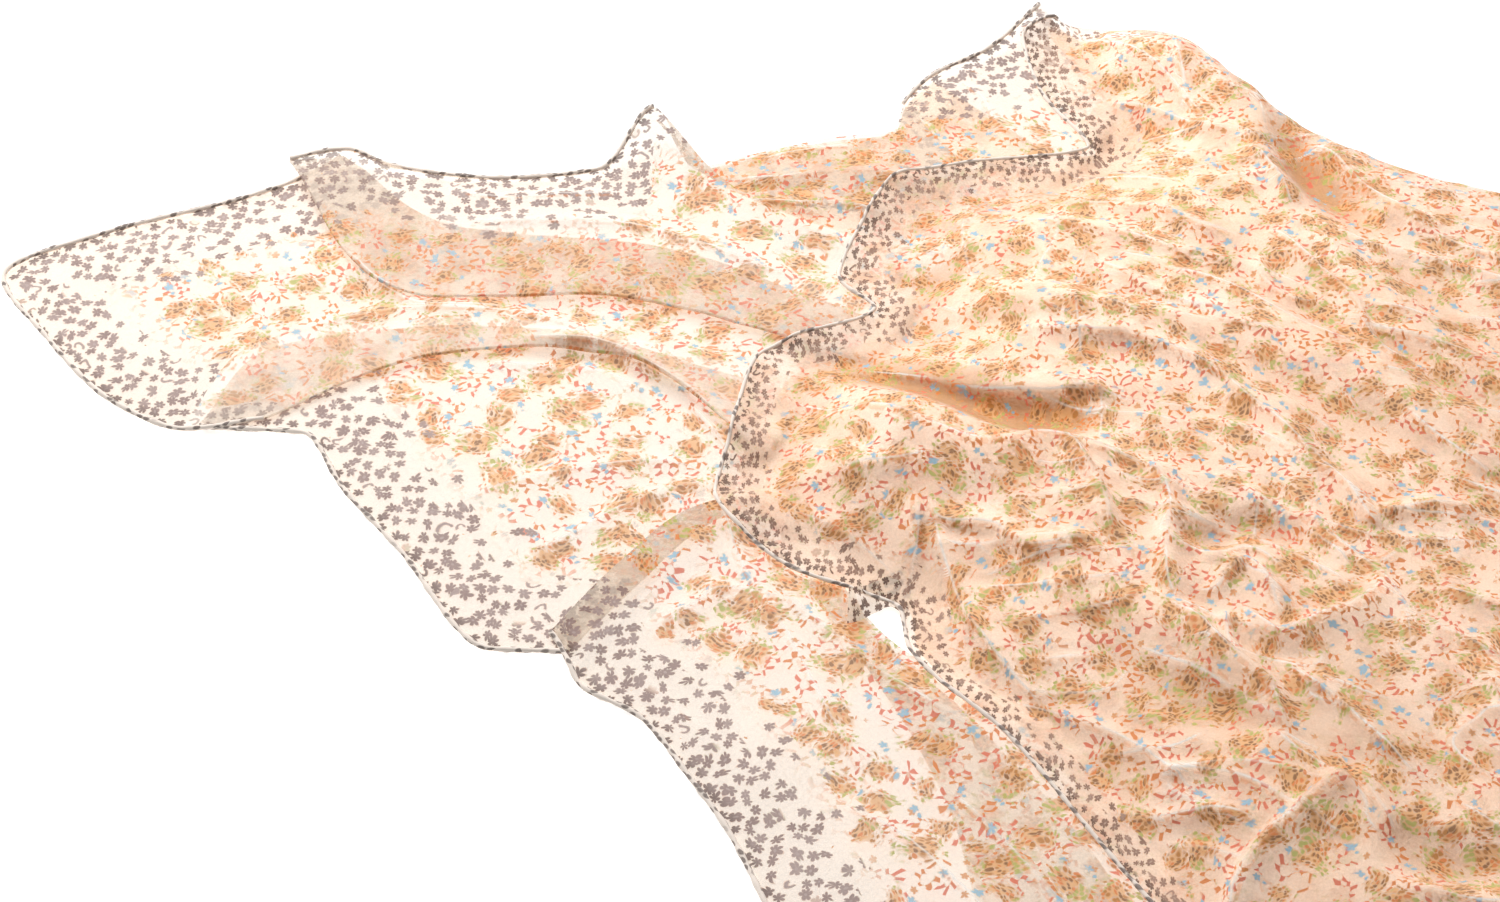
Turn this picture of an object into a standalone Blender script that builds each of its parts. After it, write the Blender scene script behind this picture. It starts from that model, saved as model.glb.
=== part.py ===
"""Chiffon scarf dropped in a loose fold on a flat surface.

One oblong of cloth, 1.60 m by 0.70 m, is folded once across its length. Its lower stretch fans
out to the left in lying pleats, and its upper stretch lies heaped on it, from its own hemmed end
to the bend on the right. Plan positions in the tables are millimetres from a point near the
pinch of the pleats: x to the right, y away from the viewer. The last step moves all of it so
that the origin is at the middle of the bounding box, on the surface that the scarf lies on.
"""

import bpy
import numpy as np
from mathutils import Matrix, Vector
from mathutils.bvhtree import BVHTree

MM = 0.001

# Driving sizes, in millimetres.
WALL = 1.3
FLOOR_GAP = 0.05
SEAM_GAP = 0.35
PLY = 2.3
HEM_RADIUS = 0.8
HEM_SIDES = 6
HEAP_HEIGHT = 21.0

# Lower stretch: one row for each line that runs from the hem, or from the outline, to the hidden
# inner edge, listed from the far side to the near side. x0, y0 is at the outline, x1, y1 and
# x2, y2 are a third and two thirds of the way in, and x3, y3 is on the inner edge. "level_in" and
# "level_out" count the plies below the cloth before and after the line: where they differ, the
# cloth turns back on itself there. The lifts are heights above the lying cloth at the outline, a
# third in, and at the inner edge.
RIB_COLUMNS = (
    "name", "x0", "y0", "x1", "y1", "x2", "y2", "x3", "y3",
    "level_in", "level_out", "lift0", "lift1", "lift3",
)
LOWER_RIBS = (
    ("patch_peak", 120, 259, 130, 241, 142, 220, 154, 200, 0, 0, 6, 2, 1),
    ("patch_middle", 86, 221, 102, 206, 118, 189, 134, 172, 0, 0, 4, 3, 2),
    ("patch_left", 62, 198, 82, 181, 101, 163, 120, 146, 0, 0, 2, 3, 2),
    ("gather_right", 57, 181, 76, 162, 94, 143, 112, 125, 0, 0, 2, 4, 2),
    ("gather_middle", 32, 175, 52, 150, 74, 128, 96, 109, 0, 0, 3, 6, 2),
    ("gather_left", 4, 167, 28, 144, 57, 121, 88, 101, 0, 0, 2, 5, 2),
    ("notch", -21, 158, 6, 136, 44, 115, 82, 94, 0, 0, 2, 4, 2),
    ("peak", -38, 183, -9, 141, 30, 115, 78, 89, 0, 0, 12, 5, 2),
    ("strip_right", -59, 155, -24, 136, 16, 116, 74, 84, 0, 0, 3, 3, 2),
    ("strip_middle", -98, 152, -54, 134, 0, 118, 71, 80, 0, 0, 1, 2, 1),
    ("strip_left", -136, 156, -88, 135, -14, 121, 66, 75, 0, 0, 3, 2, 1),
    ("band_edge", -181, 158, -136, 84, -45, 79, 48, 40, 2, 1, 4, 0, 0),
    ("band_back", -160, 162, -116, 123, -34, 110, 57, 63, 1, 0, 4, 0, 0),
    ("lobe_far", -196, 141, -142, 106, -52, 102, 51, 57, 0, 0, 1, 0, 0),
    ("tip_far", -251, 118, -165, 98, -62, 97, 46, 52, 0, 0, 1, 1, 0),
    ("tip", -283, 95, -180, 89, -70, 92, 41, 47, 0, 0, 2, 1, 0),
    ("tip_near", -262, 61, -187, 79, -76, 84, 36, 42, 0, 0, 1, 1, 0),
    ("lobe_near", -233, 26, -190, 68, -82, 76, 31, 37, 0, 0, 1, 1, 0),
    ("tuck_far_edge", -176, 15, -116, 48, -44, 44, 6, -8, 2, 1, 1, 0, 0),
    ("tuck_far_back", -200, 13, -172, 55, -78, 63, 22, 26, 1, 0, 1, 0, 0),
    ("fan_far", -161, 9, -97, 38, -38, 34, 7, -12, 0, 0, 1, 0, 0),
    ("fan_middle", -144, -20, -86, 6, -36, 13, 7, -16, 0, 0, 1, 2, 0),
    ("fan_near", -122, -50, -75, -20, -34, -4, 7, -20, 0, 0, 1, 2, 0),
    ("fan_tip", -88, -97, -58, -52, -30, -19, 8, -24, 0, 0, 2, 1, 0),
    ("tuck_near_back", -52, -113, -28, -76, -8, -49, 20, -40, 0, 1, 1, 0, 0),
    ("tuck_near_edge", -68, -90, -46, -60, -22, -33, 10, -28, 1, 2, 1, 0, 0),
    ("flare_far", -34, -131, -10, -98, 10, -74, 30, -64, 0, 0, 1, 2, 0),
    ("flare_gap", -20, -153, 4, -124, 24, -101, 42, -87, 0, 0, 1, 2, 1),
    ("flare_middle", -6, -178, 20, -152, 44, -130, 64, -111, 0, 0, 1, 3, 1),
    ("flare_near", 6, -208, 38, -184, 70, -162, 102, -142, 0, 0, 1, 3, 1),
    ("flare_low", 23, -252, 60, -230, 95, -212, 130, -194, 0, 0, 1, 3, 1),
    ("near_hem", 45, -300, 88, -300, 130, -297, 170, -291, 0, 0, 1, 1, 1),
)

# The hem where it shows: each run's name, and the sections of the lower stretch that it joins.
HEM_RUN_COLUMNS = ("name", "first", "last")
LOWER_HEM_RUNS = (
    ("lower_patch_hem", "patch_peak", "patch_left"),
    ("lower_strip_hem", "peak", "band_edge_in"),
    ("lower_tip_hem", "band_back_out", "tuck_far_edge_in"),
    ("lower_fan_hem", "tuck_far_back_out", "tuck_near_back_in"),
    ("lower_flare_hem", "tuck_near_edge_out", "near_hem"),
)

# Upper stretch: one row for each line that runs from its end hem to the bend on the right.
LINE_COLUMNS = ("name", "x0", "y0", "x1", "y1", "x2", "y2", "x3", "y3", "x4", "y4")
UPPER_LINES = (
    ("far_fold", 127, 252, 172, 236, 226, 166, 340, 114, 516, 88),
    ("peak_neck", 112, 236, 168, 216, 231, 154, 343, 102, 527, 76),
    ("peak_under", 117, 204, 165, 190, 236, 140, 345, 90, 538, 64),
    ("bay_far", 134, 168, 172, 153, 240, 108, 350, 66, 544, 40),
    ("bay_near", 84, 154, 160, 130, 240, 88, 352, 46, 545, 18),
    ("shoulder", 55, 142, 152, 108, 238, 66, 354, 24, 545, -2),
    ("shoulder_low", 46, 125, 149, 92, 236, 55, 355, 14, 545, -14),
    ("notch_far", 34, 90, 145, 74, 234, 42, 356, 2, 545, -25),
    ("notch", 47, 70, 142, 50, 230, 22, 356, -18, 545, -44),
    ("lobe_far", 4, 46, 132, 24, 226, -4, 354, -42, 545, -68),
    ("lobe_left", -7, 0, 125, -10, 222, -34, 352, -70, 545, -95),
    ("lobe_near", -12, -27, 122, -38, 222, -60, 352, -96, 545, -120),
    ("lip_left", 14, -61, 128, -70, 226, -88, 354, -122, 545, -146),
    ("gap_edge", 52, -80, 140, -96, 234, -114, 358, -146, 545, -168),
    ("gap_low", 54, -98, 146, -116, 240, -134, 362, -166, 545, -188),
    ("side_far", 62, -113, 150, -135, 246, -152, 366, -184, 545, -206),
    ("side_middle", 85, -139, 165, -166, 256, -182, 372, -204, 545, -226),
    ("side_near", 111, -182, 188, -198, 272, -212, 380, -228, 543, -248),
    ("frame_edge", 130, -214, 206, -234, 286, -244, 388, -256, 536, -268),
    ("near_hem", 182, -296, 246, -302, 318, -303, 410, -302, 512, -286),
)

# Ridges and troughs of the upper stretch. Each follows the curve through its points; a trough
# has a negative height.
RIDGE_COLUMNS = ("name", "height", "half_width", "points")
UPPER_RIDGES = (
    ("hem_roll", 8, 16, ((50, 72), (82, 66), (120, 52), (166, 40), (210, 20))),
    ("long_trough", -7, 16, ((22, 48), (48, 40), (76, 31), (104, 23), (138, 20))),
    ("saddle", 8, 15, ((34, 2), (65, 6), (90, 3), (105, -5), (116, -16), (125, -34), (128, -54))),
    ("left_spine", 7, 14, ((60, -6), (68, -34), (74, -62), (86, -94), (102, -126), (112, -150))),
    ("far_line", 5, 14, ((40, 138), (70, 154), (100, 164), (134, 160), (172, 138))),
    ("far_hump", 9, 24, ((150, 226), (182, 206), (200, 184), (214, 154))),
    ("pocket", -7, 16, ((206, 170), (216, 146), (222, 124), (240, 96))),
    ("upper_diagonal", 9, 17, ((132, 82), (168, 54), (200, 32), (232, 6), (262, -20), (300, -48))),
    ("right_diagonal", 9, 16, ((194, 106), (222, 74), (238, 42), (262, 16), (310, -10))),
    ("light_ridge", 9, 15, ((178, 34), (196, 6), (212, -22), (219, -50), (212, -80), (192, -100))),
    ("swirl", 8, 14, ((148, -52), (168, -46), (188, -56), (196, -76), (184, -94))),
    ("hollow", -7, 20, ((112, -92), (130, -118), (150, -138), (176, -152))),
    ("low_crest", 8, 14, ((134, -84), (156, -110), (172, -132), (188, -158), (196, -184))),
    ("bottom_fold", 8, 15, ((140, -210), (162, -192), (188, -174), (222, -158), (262, -150))),
    ("right_long", 8, 22, ((280, 74), (340, 44), (400, 10), (470, -6), (525, -12))),
    ("right_low", 8, 24, ((262, -96), (330, -112), (400, -150), (470, -176), (520, -190))),
    ("near_low", 5, 22, ((220, -228), (300, -236), (380, -246), (460, -250))),
)

# How far the heap takes to reach its full height from each of its sides, in millimetres.
RISE_FROM_HEM = 70.0
RISE_FROM_FAR = 26.0
RISE_FROM_BEND = 22.0
RISE_FROM_NEAR = 90.0


def rows(columns, table):
    """The rows of a table as dictionaries."""
    return [dict(zip(columns, row)) for row in table]


def ease(value):
    """0 below 0, 1 above 1, and a smooth step between."""
    value = np.clip(value, 0.0, 1.0)
    return value * value * (3.0 - 2.0 * value)


def unit(vectors):
    return vectors / np.linalg.norm(vectors, axis=-1, keepdims=True)


def through(knots, values, at):
    """A smooth curve through values at knots that doesn't overshoot them, read at each of at."""
    knots = np.asarray(knots, float)
    values = np.asarray(values, float)
    flat = values.reshape(len(knots), -1)
    steps = np.diff(knots)[:, None]
    slopes = np.diff(flat, axis=0) / steps
    tangents = np.zeros_like(flat)
    before, after = slopes[:-1], slopes[1:]
    same = before * after > 0
    total = np.where(same, before + after, 1.0)
    tangents[1:-1] = np.where(same, 2 * before * after / total, 0.0)
    tangents[0], tangents[-1] = slopes[0], slopes[-1]
    place = np.clip(np.searchsorted(knots, at, side="right") - 1, 0, len(knots) - 2)
    step = steps[place]
    part = ((np.asarray(at) - knots[place]) / step[:, 0])[:, None]
    found = (
        (1 + 2 * part) * (1 - part) ** 2 * flat[place]
        + part * (1 - part) ** 2 * step * tangents[place]
        + part**2 * (3 - 2 * part) * flat[place + 1]
        + part**2 * (part - 1) * step * tangents[place + 1]
    )
    return found.reshape((len(found),) + values.shape[1:])


def curve(points, count):
    """count points along the smooth plan curve through these points."""
    points = np.asarray(points, float)
    padded = np.vstack([2 * points[0] - points[1], points, 2 * points[-1] - points[-2]])
    at = np.linspace(0, len(points) - 1, count)
    first = np.minimum(at.astype(int), len(points) - 2)
    part = (at - first)[:, None]
    a, b, c, d = (padded[first + i] for i in range(4))
    return 0.5 * (
        2 * b
        + (c - a) * part
        + (2 * a - 5 * b + 4 * c - d) * part**2
        + (3 * b - 3 * c + d - a) * part**3
    )


# --- Lower stretch ---

LINE_PARTS = np.array((0.0, 1 / 3, 2 / 3, 1.0))
OVER_MARGIN = 3.5
OVERHANG = 3.0
TURN_SAMPLES = 2
SIDE_SPACING = 17.0
INWARD_SAMPLES = 16
OUTER_SQUEEZE = 1.2


def line_points(row, count):
    return np.array([(row[f"x{i}"], row[f"y{i}"]) for i in range(count)], float)


def line_heights(row, level):
    lifts = np.array((row["lift0"], row["lift1"], (row["lift1"] + row["lift3"]) / 2, row["lift3"]))
    return WALL / 2 + FLOOR_GAP + lifts + PLY * level


def over_section(row, edge, fold_back):
    """The top ply just past the hidden fold below it, its hem hanging a little further out."""
    away = fold_back - edge
    past = fold_back + away * OVER_MARGIN / np.linalg.norm(away, axis=1)[:, None]
    outward = past[0] - past[1]
    past[0] += outward * OVERHANG / np.linalg.norm(outward)
    return (row["name"] + "_over", past, line_heights(row, 2))


def across_from(here, before):
    """Unit plan vectors square to the line through here, pointing away from the line before it."""
    run = np.gradient(here, axis=0)
    square = unit(np.column_stack([-run[:, 1], run[:, 0]]))
    return square * np.sign((square * (here - before)).sum(axis=1))[:, None]


def lower_sections():
    """Each section across the lower stretch: its name, its four plan points and their heights."""
    table = rows(RIB_COLUMNS, LOWER_RIBS)
    sections = []
    for i, row in enumerate(table):
        here = line_points(row, 4)
        level_in, level_out = row["level_in"], row["level_out"]
        if level_in == level_out:
            sections.append((row["name"], here, line_heights(row, level_in)))
            continue
        other = line_points(table[i + 1 if level_in == 2 else i - 1], 4)
        back = here - across_from(here, line_points(table[i - 1], 4)) * PLY / 2
        if level_in == 2:
            sections.append(over_section(row, here, other))
        sections.append((row["name"] + "_in", back, line_heights(row, level_in)))
        middle = (level_in + level_out) / 2
        sections.append((row["name"], here, line_heights(row, middle)))
        sections.append((row["name"] + "_out", back, line_heights(row, level_out)))
        if level_out == 2:
            sections.append(over_section(row, here, other))
    return sections


def section_samples(sections):
    """The places across the stretch to read: more of them where the cloth turns back."""
    points = np.array([section[1] for section in sections])
    heights = np.array([section[2] for section in sections])
    gaps = np.linalg.norm(np.diff(points, axis=0), axis=2)
    rises = np.abs(np.diff(heights, axis=0))
    knots = np.concatenate([[0.0], np.cumsum((gaps + rises).mean(axis=1))])
    samples = []
    for i, gap in enumerate(gaps.max(axis=1)):
        turning = rises[i].max() > PLY / 4 and gap < PLY
        count = TURN_SAMPLES if turning else max(1, round(gap / SIDE_SPACING))
        samples.extend(knots[i] + (knots[i + 1] - knots[i]) * np.arange(count) / count)
    return knots, np.append(samples, knots[-1])


def walked_along(path):
    """Distance along a path to each of its points."""
    return np.concatenate([[0.0], np.cumsum(np.linalg.norm(np.diff(path, axis=0), axis=1))])


def run_in(line, heights):
    """Points from the outline to the inner edge of one line, closer together towards the outline."""
    plan = curve(line, 60)
    walked = walked_along(plan)
    at = np.linspace(0, 1, INWARD_SAMPLES) ** OUTER_SQUEEZE * walked[-1]
    xy = [np.interp(at, walked, plan[:, k]) for k in range(2)]
    return np.column_stack([*xy, through(LINE_PARTS * walked[-1], heights, at)])


def lower_grid():
    """Middle surface of the lower stretch, as points[across][inwards], and where each section lies."""
    sections = lower_sections()
    knots, samples = section_samples(sections)
    lines = through(knots, [section[1] for section in sections], samples)
    heights = through(knots, [section[2] for section in sections], samples)
    places = {section[0]: int(np.argmin(np.abs(samples - knot))) for section, knot in zip(sections, knots)}
    return np.array([run_in(*values) for values in zip(lines, heights)]), places


# --- Upper stretch and the heap below it ---

UPPER_ACROSS = 37
UPPER_ALONG = 37
BEND_SQUEEZE = 1.25


def upper_plan():
    """Plan points of the upper stretch, as points[across][along], closer together towards its hem."""
    lines = np.array([line_points(row, 5) for row in rows(LINE_COLUMNS, UPPER_LINES)])
    gaps = np.linalg.norm(np.diff(lines, axis=0), axis=2).mean(axis=1)
    knots = np.concatenate([[0.0], np.cumsum(gaps)])
    across = through(knots, lines, np.linspace(0, knots[-1], UPPER_ACROSS))
    stations = np.linspace(0, 1, UPPER_ALONG) ** BEND_SQUEEZE
    plan = []
    for line in across:
        fine = curve(line, 80)
        walked = walked_along(fine)
        plan.append(np.column_stack([np.interp(stations * walked[-1], walked, fine[:, k]) for k in range(2)]))
    return np.array(plan)


def distance_to(plan, path):
    """Distance from each plan point of a grid to a path, and how far along the path its nearest point is."""
    flat = plan.reshape(-1, 2)
    distance = np.linalg.norm(flat[:, None, :] - path[None, :, :], axis=2)
    nearest = distance.argmin(axis=1)
    near = distance[np.arange(len(flat)), nearest]
    return near.reshape(plan.shape[:2]), (nearest / (len(path) - 1)).reshape(plan.shape[:2])


def rounded(distance, reach):
    """The rise of a quarter circle, as a share, over this reach from an edge."""
    return np.sqrt(1 - (1 - np.clip(distance / reach, 0, 1)) ** 2)


def heap_height(plan):
    """Height of the heap without its ridges: full inside, and rounded off towards each side."""
    sides = (plan[:, 0], plan[0], plan[:, -1], plan[-1])
    from_hem, from_far, from_bend, from_near = (distance_to(plan, curve(side, 300))[0] for side in sides)
    full = ease(from_hem / RISE_FROM_HEM) * (0.35 + 0.65 * ease(from_near / RISE_FROM_NEAR))
    return HEAP_HEIGHT * full * rounded(from_far, RISE_FROM_FAR) * rounded(from_bend, RISE_FROM_BEND)


def ridge_heights(plan, ridges):
    """How much the ridges raise each plan point, and how much the troughs sink it."""
    raised = np.zeros(plan.shape[:2])
    sunk = np.zeros(plan.shape[:2])
    for ridge in rows(RIDGE_COLUMNS, ridges):
        near, along = distance_to(plan, curve(ridge["points"], 60))
        taper = np.sin(np.pi * np.clip(along, 0.02, 0.98)) ** 0.6
        profile = np.clip(1 - (near / ridge["half_width"]) ** 2, 0, 1) ** 2
        lift = ridge["height"] * taper * profile
        raised = np.maximum(raised, lift)
        sunk = np.minimum(sunk, lift)
    return raised, sunk


def surface_tree(surface):
    """A search tree of a grid's surface, for finding what lies below a point."""
    across, along = surface.shape[:2]
    points = [Vector(point) for point in surface.reshape(-1, 3)]
    corners = [
        (i * along + j, (i + 1) * along + j, (i + 1) * along + j + 1, i * along + j + 1)
        for i in range(across - 1)
        for j in range(along - 1)
    ]
    return BVHTree.FromPolygons(points, corners)


def below(tree, x, y):
    """The top of the tree's surface at a plan point, or None beside it."""
    return tree.ray_cast(Vector((x, y, 500.0)), Vector((0, 0, -1)))[0]


SUPPORT_REACHES = (4.0, 8.0)
SUPPORT_DIRECTIONS = 8
PLY_CLEARANCE = WALL + SEAM_GAP + 1.2


def support_height(plan, tree):
    """Highest point of the surface in the tree at or close to each plan point, or 0."""
    turns = 2 * np.pi * np.arange(SUPPORT_DIRECTIONS) / SUPPORT_DIRECTIONS
    around = [(reach * np.cos(turn), reach * np.sin(turn)) for reach in SUPPORT_REACHES for turn in turns]
    found = np.zeros(plan.shape[:2])
    for index in np.ndindex(found.shape):
        x, y = plan[index]
        hits = [below(tree, x + dx, y + dy) for dx, dy in [(0.0, 0.0)] + around]
        found[index] = max((hit.z for hit in hits if hit is not None), default=0.0)
    return found


def smoothed(field):
    """Each value of a grid averaged with its neighbours."""
    padded = np.pad(field, 1, mode="edge")
    sides = padded[:-2, 1:-1] + padded[2:, 1:-1] + padded[1:-1, :-2] + padded[1:-1, 2:]
    return 0.5 * field + 0.125 * sides


def upper_grid(lower):
    """Middle surfaces of the upper stretch and of the heap's top, which lies at or below it."""
    plan = upper_plan()
    heap = heap_height(plan)
    raised, sunk = ridge_heights(plan, UPPER_RIDGES)
    floor = WALL / 2 + FLOOR_GAP
    held = np.maximum(support_height(plan, surface_tree(lower)) + PLY_CLEARANCE, floor)
    held = np.maximum(held, smoothed(smoothed(held)))
    heaped = floor + heap + sunk * heap / HEAP_HEIGHT
    surface = np.maximum(heaped, held) + raised * ease(heap / 8.0)
    return np.dstack([plan, surface]), np.dstack([plan, heaped])


# --- Solids ---


def grid_normals(grid):
    """Unit normals of a grid of points, facing up where the cloth lies flat and unturned."""
    tangents = []
    for axis in (0, 1):
        ahead = np.roll(grid, -1, axis=axis)
        behind = np.roll(grid, 1, axis=axis)
        edge = [slice(None)] * 3
        edge[axis] = -1
        ahead[tuple(edge)] = grid[tuple(edge)]
        edge[axis] = 0
        behind[tuple(edge)] = grid[tuple(edge)]
        tangents.append(ahead - behind)
    normals = np.cross(tangents[0], tangents[1])
    return normals / np.linalg.norm(normals, axis=2)[:, :, None]


def add_object(name, points, faces, colour, roughness):
    """A named object with its own material, in the scarf's collection."""
    mesh = bpy.data.meshes.new(name)
    mesh.from_pydata([tuple(point) for point in np.asarray(points) * MM], [], faces)
    mesh.validate()
    mesh.shade_smooth()
    mesh.set_sharp_from_angle(angle=np.radians(50))
    material = bpy.data.materials.new(name)
    material.use_nodes = True
    shader = material.node_tree.nodes["Principled BSDF"]
    shader.inputs["Base Color"].default_value = (*colour, 1.0)
    shader.inputs["Roughness"].default_value = roughness
    shader.inputs["Metallic"].default_value = 0.0
    mesh.materials.append(material)
    piece = bpy.data.objects.new(name, mesh)
    bpy.data.collections[COLLECTION].objects.link(piece)
    return piece


def rim_of(across, along):
    """Indices round the edge of a grid, in order."""
    rim = [(i, 0) for i in range(across)]
    rim += [(across - 1, j) for j in range(1, along)]
    rim += [(i, along - 1) for i in range(across - 2, -1, -1)]
    rim += [(0, j) for j in range(along - 2, 0, -1)]
    return [i * along + j for i, j in rim]


def triangles_of(grid):
    """Corner indices of a grid's triangles, each cell cut across its shorter diagonal."""
    across, along = grid.shape[:2]
    triangles = []
    for i in range(across - 1):
        for j in range(along - 1):
            a, b, c, d = i * along + j, (i + 1) * along + j, (i + 1) * along + j + 1, i * along + j + 1
            rising = np.linalg.norm(grid[i, j] - grid[i + 1, j + 1])
            falling = np.linalg.norm(grid[i + 1, j] - grid[i, j + 1])
            triangles += [(a, b, c), (a, c, d)] if rising < falling else [(a, b, d), (b, c, d)]
    return triangles


def add_wall(name, grid, colour):
    """A wall of cloth round a middle surface."""
    offset = grid_normals(grid) * WALL / 2
    across, along = grid.shape[:2]
    top = (grid + offset).reshape(-1, 3)
    bottom = (grid - offset).reshape(-1, 3)
    bottom[:, 2] = np.maximum(bottom[:, 2], 0.0)
    count = len(top)
    shown = triangles_of(grid)
    faces = shown + [tuple(corner + count for corner in triangle[::-1]) for triangle in shown]
    rim = rim_of(across, along)
    for here, there in zip(rim, rim[1:] + rim[:1]):
        faces.append((there, here, here + count, there + count))
    return add_object(name, np.vstack([top, bottom]), faces, colour, CLOTH_ROUGHNESS)


def add_hem(name, edge, inner, colour):
    """A rolled hem that follows an edge, held off it by the seam gap. inner is the row beside the edge."""
    run = unit(np.gradient(edge, axis=0))
    outward = edge - inner
    outward = unit(outward - run * (outward * run).sum(axis=1)[:, None])
    centre = edge + outward * (HEM_RADIUS + SEAM_GAP)
    centre[:, 2] = np.maximum(centre[:, 2], HEM_RADIUS + SEAM_GAP)
    lift = unit(np.cross(run, outward))
    turns = 2 * np.pi * np.arange(HEM_SIDES) / HEM_SIDES
    rings = [centre + HEM_RADIUS * (np.cos(turn) * outward + np.sin(turn) * lift) for turn in turns]
    points = np.stack(rings, axis=1).reshape(-1, 3)
    count = len(centre)
    faces = []
    for i in range(count - 1):
        for k in range(HEM_SIDES):
            near, far = i * HEM_SIDES + k, i * HEM_SIDES + (k + 1) % HEM_SIDES
            faces.append((near, far, far + HEM_SIDES, near + HEM_SIDES))
    faces.append(tuple(range(HEM_SIDES))[::-1])
    faces.append(tuple((count - 1) * HEM_SIDES + k for k in range(HEM_SIDES)))
    return add_object(name, points, faces, colour, CLOTH_ROUGHNESS)


# The heap's hidden plies: each ring round their side, from the top down, as a share of the height
# there and as how far it stands out from the top's edge, so that the side shows three layers.
LIP_COLUMNS = ("height", "reach")
LIPS = ((0.80, 1.6), (0.66, 0.2), (0.48, 1.8), (0.34, 0.4), (0.16, 2.0), (0.0, 1.2))
HIDDEN_INSET = 15.0
HIDDEN_CLEARANCE = 12.0
HIDDEN_ACROSS = 18
HIDDEN_ALONG = 20
HIDDEN_DROP = WALL / 2 + SEAM_GAP + 1.2
HIDDEN_LEAST = 1.6


def lowest_near(field):
    """Each value of a grid taken down to the least of its neighbours."""
    padded = np.pad(field, 1, mode="edge")
    across, along = field.shape
    around = [padded[i : i + across, j : j + along] for i in range(3) for j in range(3)]
    return np.minimum.reduce(around)


def hidden_grid(heap, lower):
    """Top of the hidden plies: the heap's surface lowered, from where the lower stretch ends."""
    tree = surface_tree(lower)
    plan = heap[:, :, :2]
    inside = [
        i for i in range(len(plan))
        if min(distance_to(plan[i : i + 1], side)[0].min() for side in (plan[0], plan[-1])) > HIDDEN_INSET
    ]
    picked = np.unique(np.linspace(inside[0], inside[-1], HIDDEN_ACROSS).round().astype(int))
    sunk = heap.copy()
    sunk[:, :, 2] = lowest_near(lowest_near(heap[:, :, 2]))
    grid = []
    for line in sunk[picked]:
        walked = walked_along(line[:, :2])
        at = np.arange(0.0, walked[-1], 1.5)
        fine = np.column_stack([np.interp(at, walked, line[:, k]) for k in range(3)])
        covered = [below(tree, x, y) is not None for x, y, _ in fine]
        start = max(at[covered], default=HIDDEN_INSET) + HIDDEN_CLEARANCE
        stations = start + (walked[-1] - HIDDEN_INSET - start) * np.linspace(0, 1, HIDDEN_ALONG) ** 1.15
        grid.append(np.column_stack([np.interp(stations, walked, line[:, k]) for k in range(3)]))
    grid = np.array(grid)
    grid[:, :, 2] = np.maximum(smoothed(grid[:, :, 2]) - HIDDEN_DROP, HIDDEN_LEAST)
    return grid


def add_hidden_layers(name, top, colour):
    """One rounded solid for the plies inside the heap, layered round its side, with a flat underside."""
    across, along = top.shape[:2]
    rim = rim_of(across, along)
    loop = top.reshape(-1, 3)[rim]
    ahead = np.roll(loop, -1, axis=0) - np.roll(loop, 1, axis=0)
    outward = np.column_stack([ahead[:, 1], -ahead[:, 0]])
    outward /= np.linalg.norm(outward, axis=1)[:, None]
    if (outward * (loop[:, :2] - loop[:, :2].mean(axis=0))).sum() < 0:
        outward = -outward
    points = [top.reshape(-1, 3)]
    faces = triangles_of(top)
    upper_ring, start = rim, across * along
    for lip in rows(LIP_COLUMNS, LIPS):
        ring = np.column_stack([loop[:, :2] + outward * lip["reach"], loop[:, 2] * lip["height"]])
        lower_ring = list(range(start, start + len(rim)))
        for k in range(len(rim)):
            after = (k + 1) % len(rim)
            faces.append((upper_ring[after], upper_ring[k], lower_ring[k], lower_ring[after]))
        points.append(ring)
        upper_ring, start = lower_ring, start + len(rim)
    faces.append(tuple(upper_ring[::-1]))
    return add_object(name, np.vstack(points), faces, colour, CLOTH_ROUGHNESS)


COLLECTION = "chiffon_scarf"
CLOTH_ROUGHNESS = 0.85
LOWER_COLOUR = (0.93, 0.86, 0.76)
UPPER_COLOUR = (0.92, 0.74, 0.58)
HIDDEN_COLOUR = (0.88, 0.68, 0.52)
HEM_COLOUR = (0.30, 0.20, 0.17)


def clear_scene():
    for item in list(bpy.data.objects):
        bpy.data.objects.remove(item)
    bpy.context.scene.collection.children.link(bpy.data.collections.new(COLLECTION))


def add_hems(lower, places, upper):
    for run in rows(HEM_RUN_COLUMNS, LOWER_HEM_RUNS):
        shown = slice(places[run["first"]], places[run["last"]] + 1)
        add_hem(run["name"], lower[shown, 0], lower[shown, 1], HEM_COLOUR)
    add_hem("upper_end_hem", upper[:, 0], upper[:, 1], HEM_COLOUR)


def centre_origin():
    """Moves every mesh so that the middle of the bounding box is over the origin."""
    meshes = [piece.data for piece in bpy.data.collections[COLLECTION].objects]
    corners = np.array([vertex.co[:2] for mesh in meshes for vertex in mesh.vertices])
    middle = (corners.min(axis=0) + corners.max(axis=0)) / 2
    for mesh in meshes:
        mesh.transform(Matrix.Translation((-middle[0], -middle[1], 0.0)))
    return middle


def build():
    clear_scene()
    lower, places = lower_grid()
    upper, heap = upper_grid(lower)
    add_wall("lower_stretch", lower, LOWER_COLOUR)
    add_wall("upper_stretch", upper, UPPER_COLOUR)
    add_hidden_layers("hidden_layers", hidden_grid(heap, lower), HIDDEN_COLOUR)
    add_hems(lower, places, upper)
    return centre_origin()


if __name__ == "__main__":
    build()
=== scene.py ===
"""Looks of a chiffon scarf that lies dropped in a loose fold on a pale floor.

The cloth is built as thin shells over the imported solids: the lower stretch with its folded
bands, the upper stretch with its creases, the plies inside the heap, and the rolled hems. Plan
positions in the tables are millimetres from a point near the pinch of the pleats: x to the right,
y away from the viewer. The print is worked out in millimetres on the flat cloth.
"""

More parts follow.
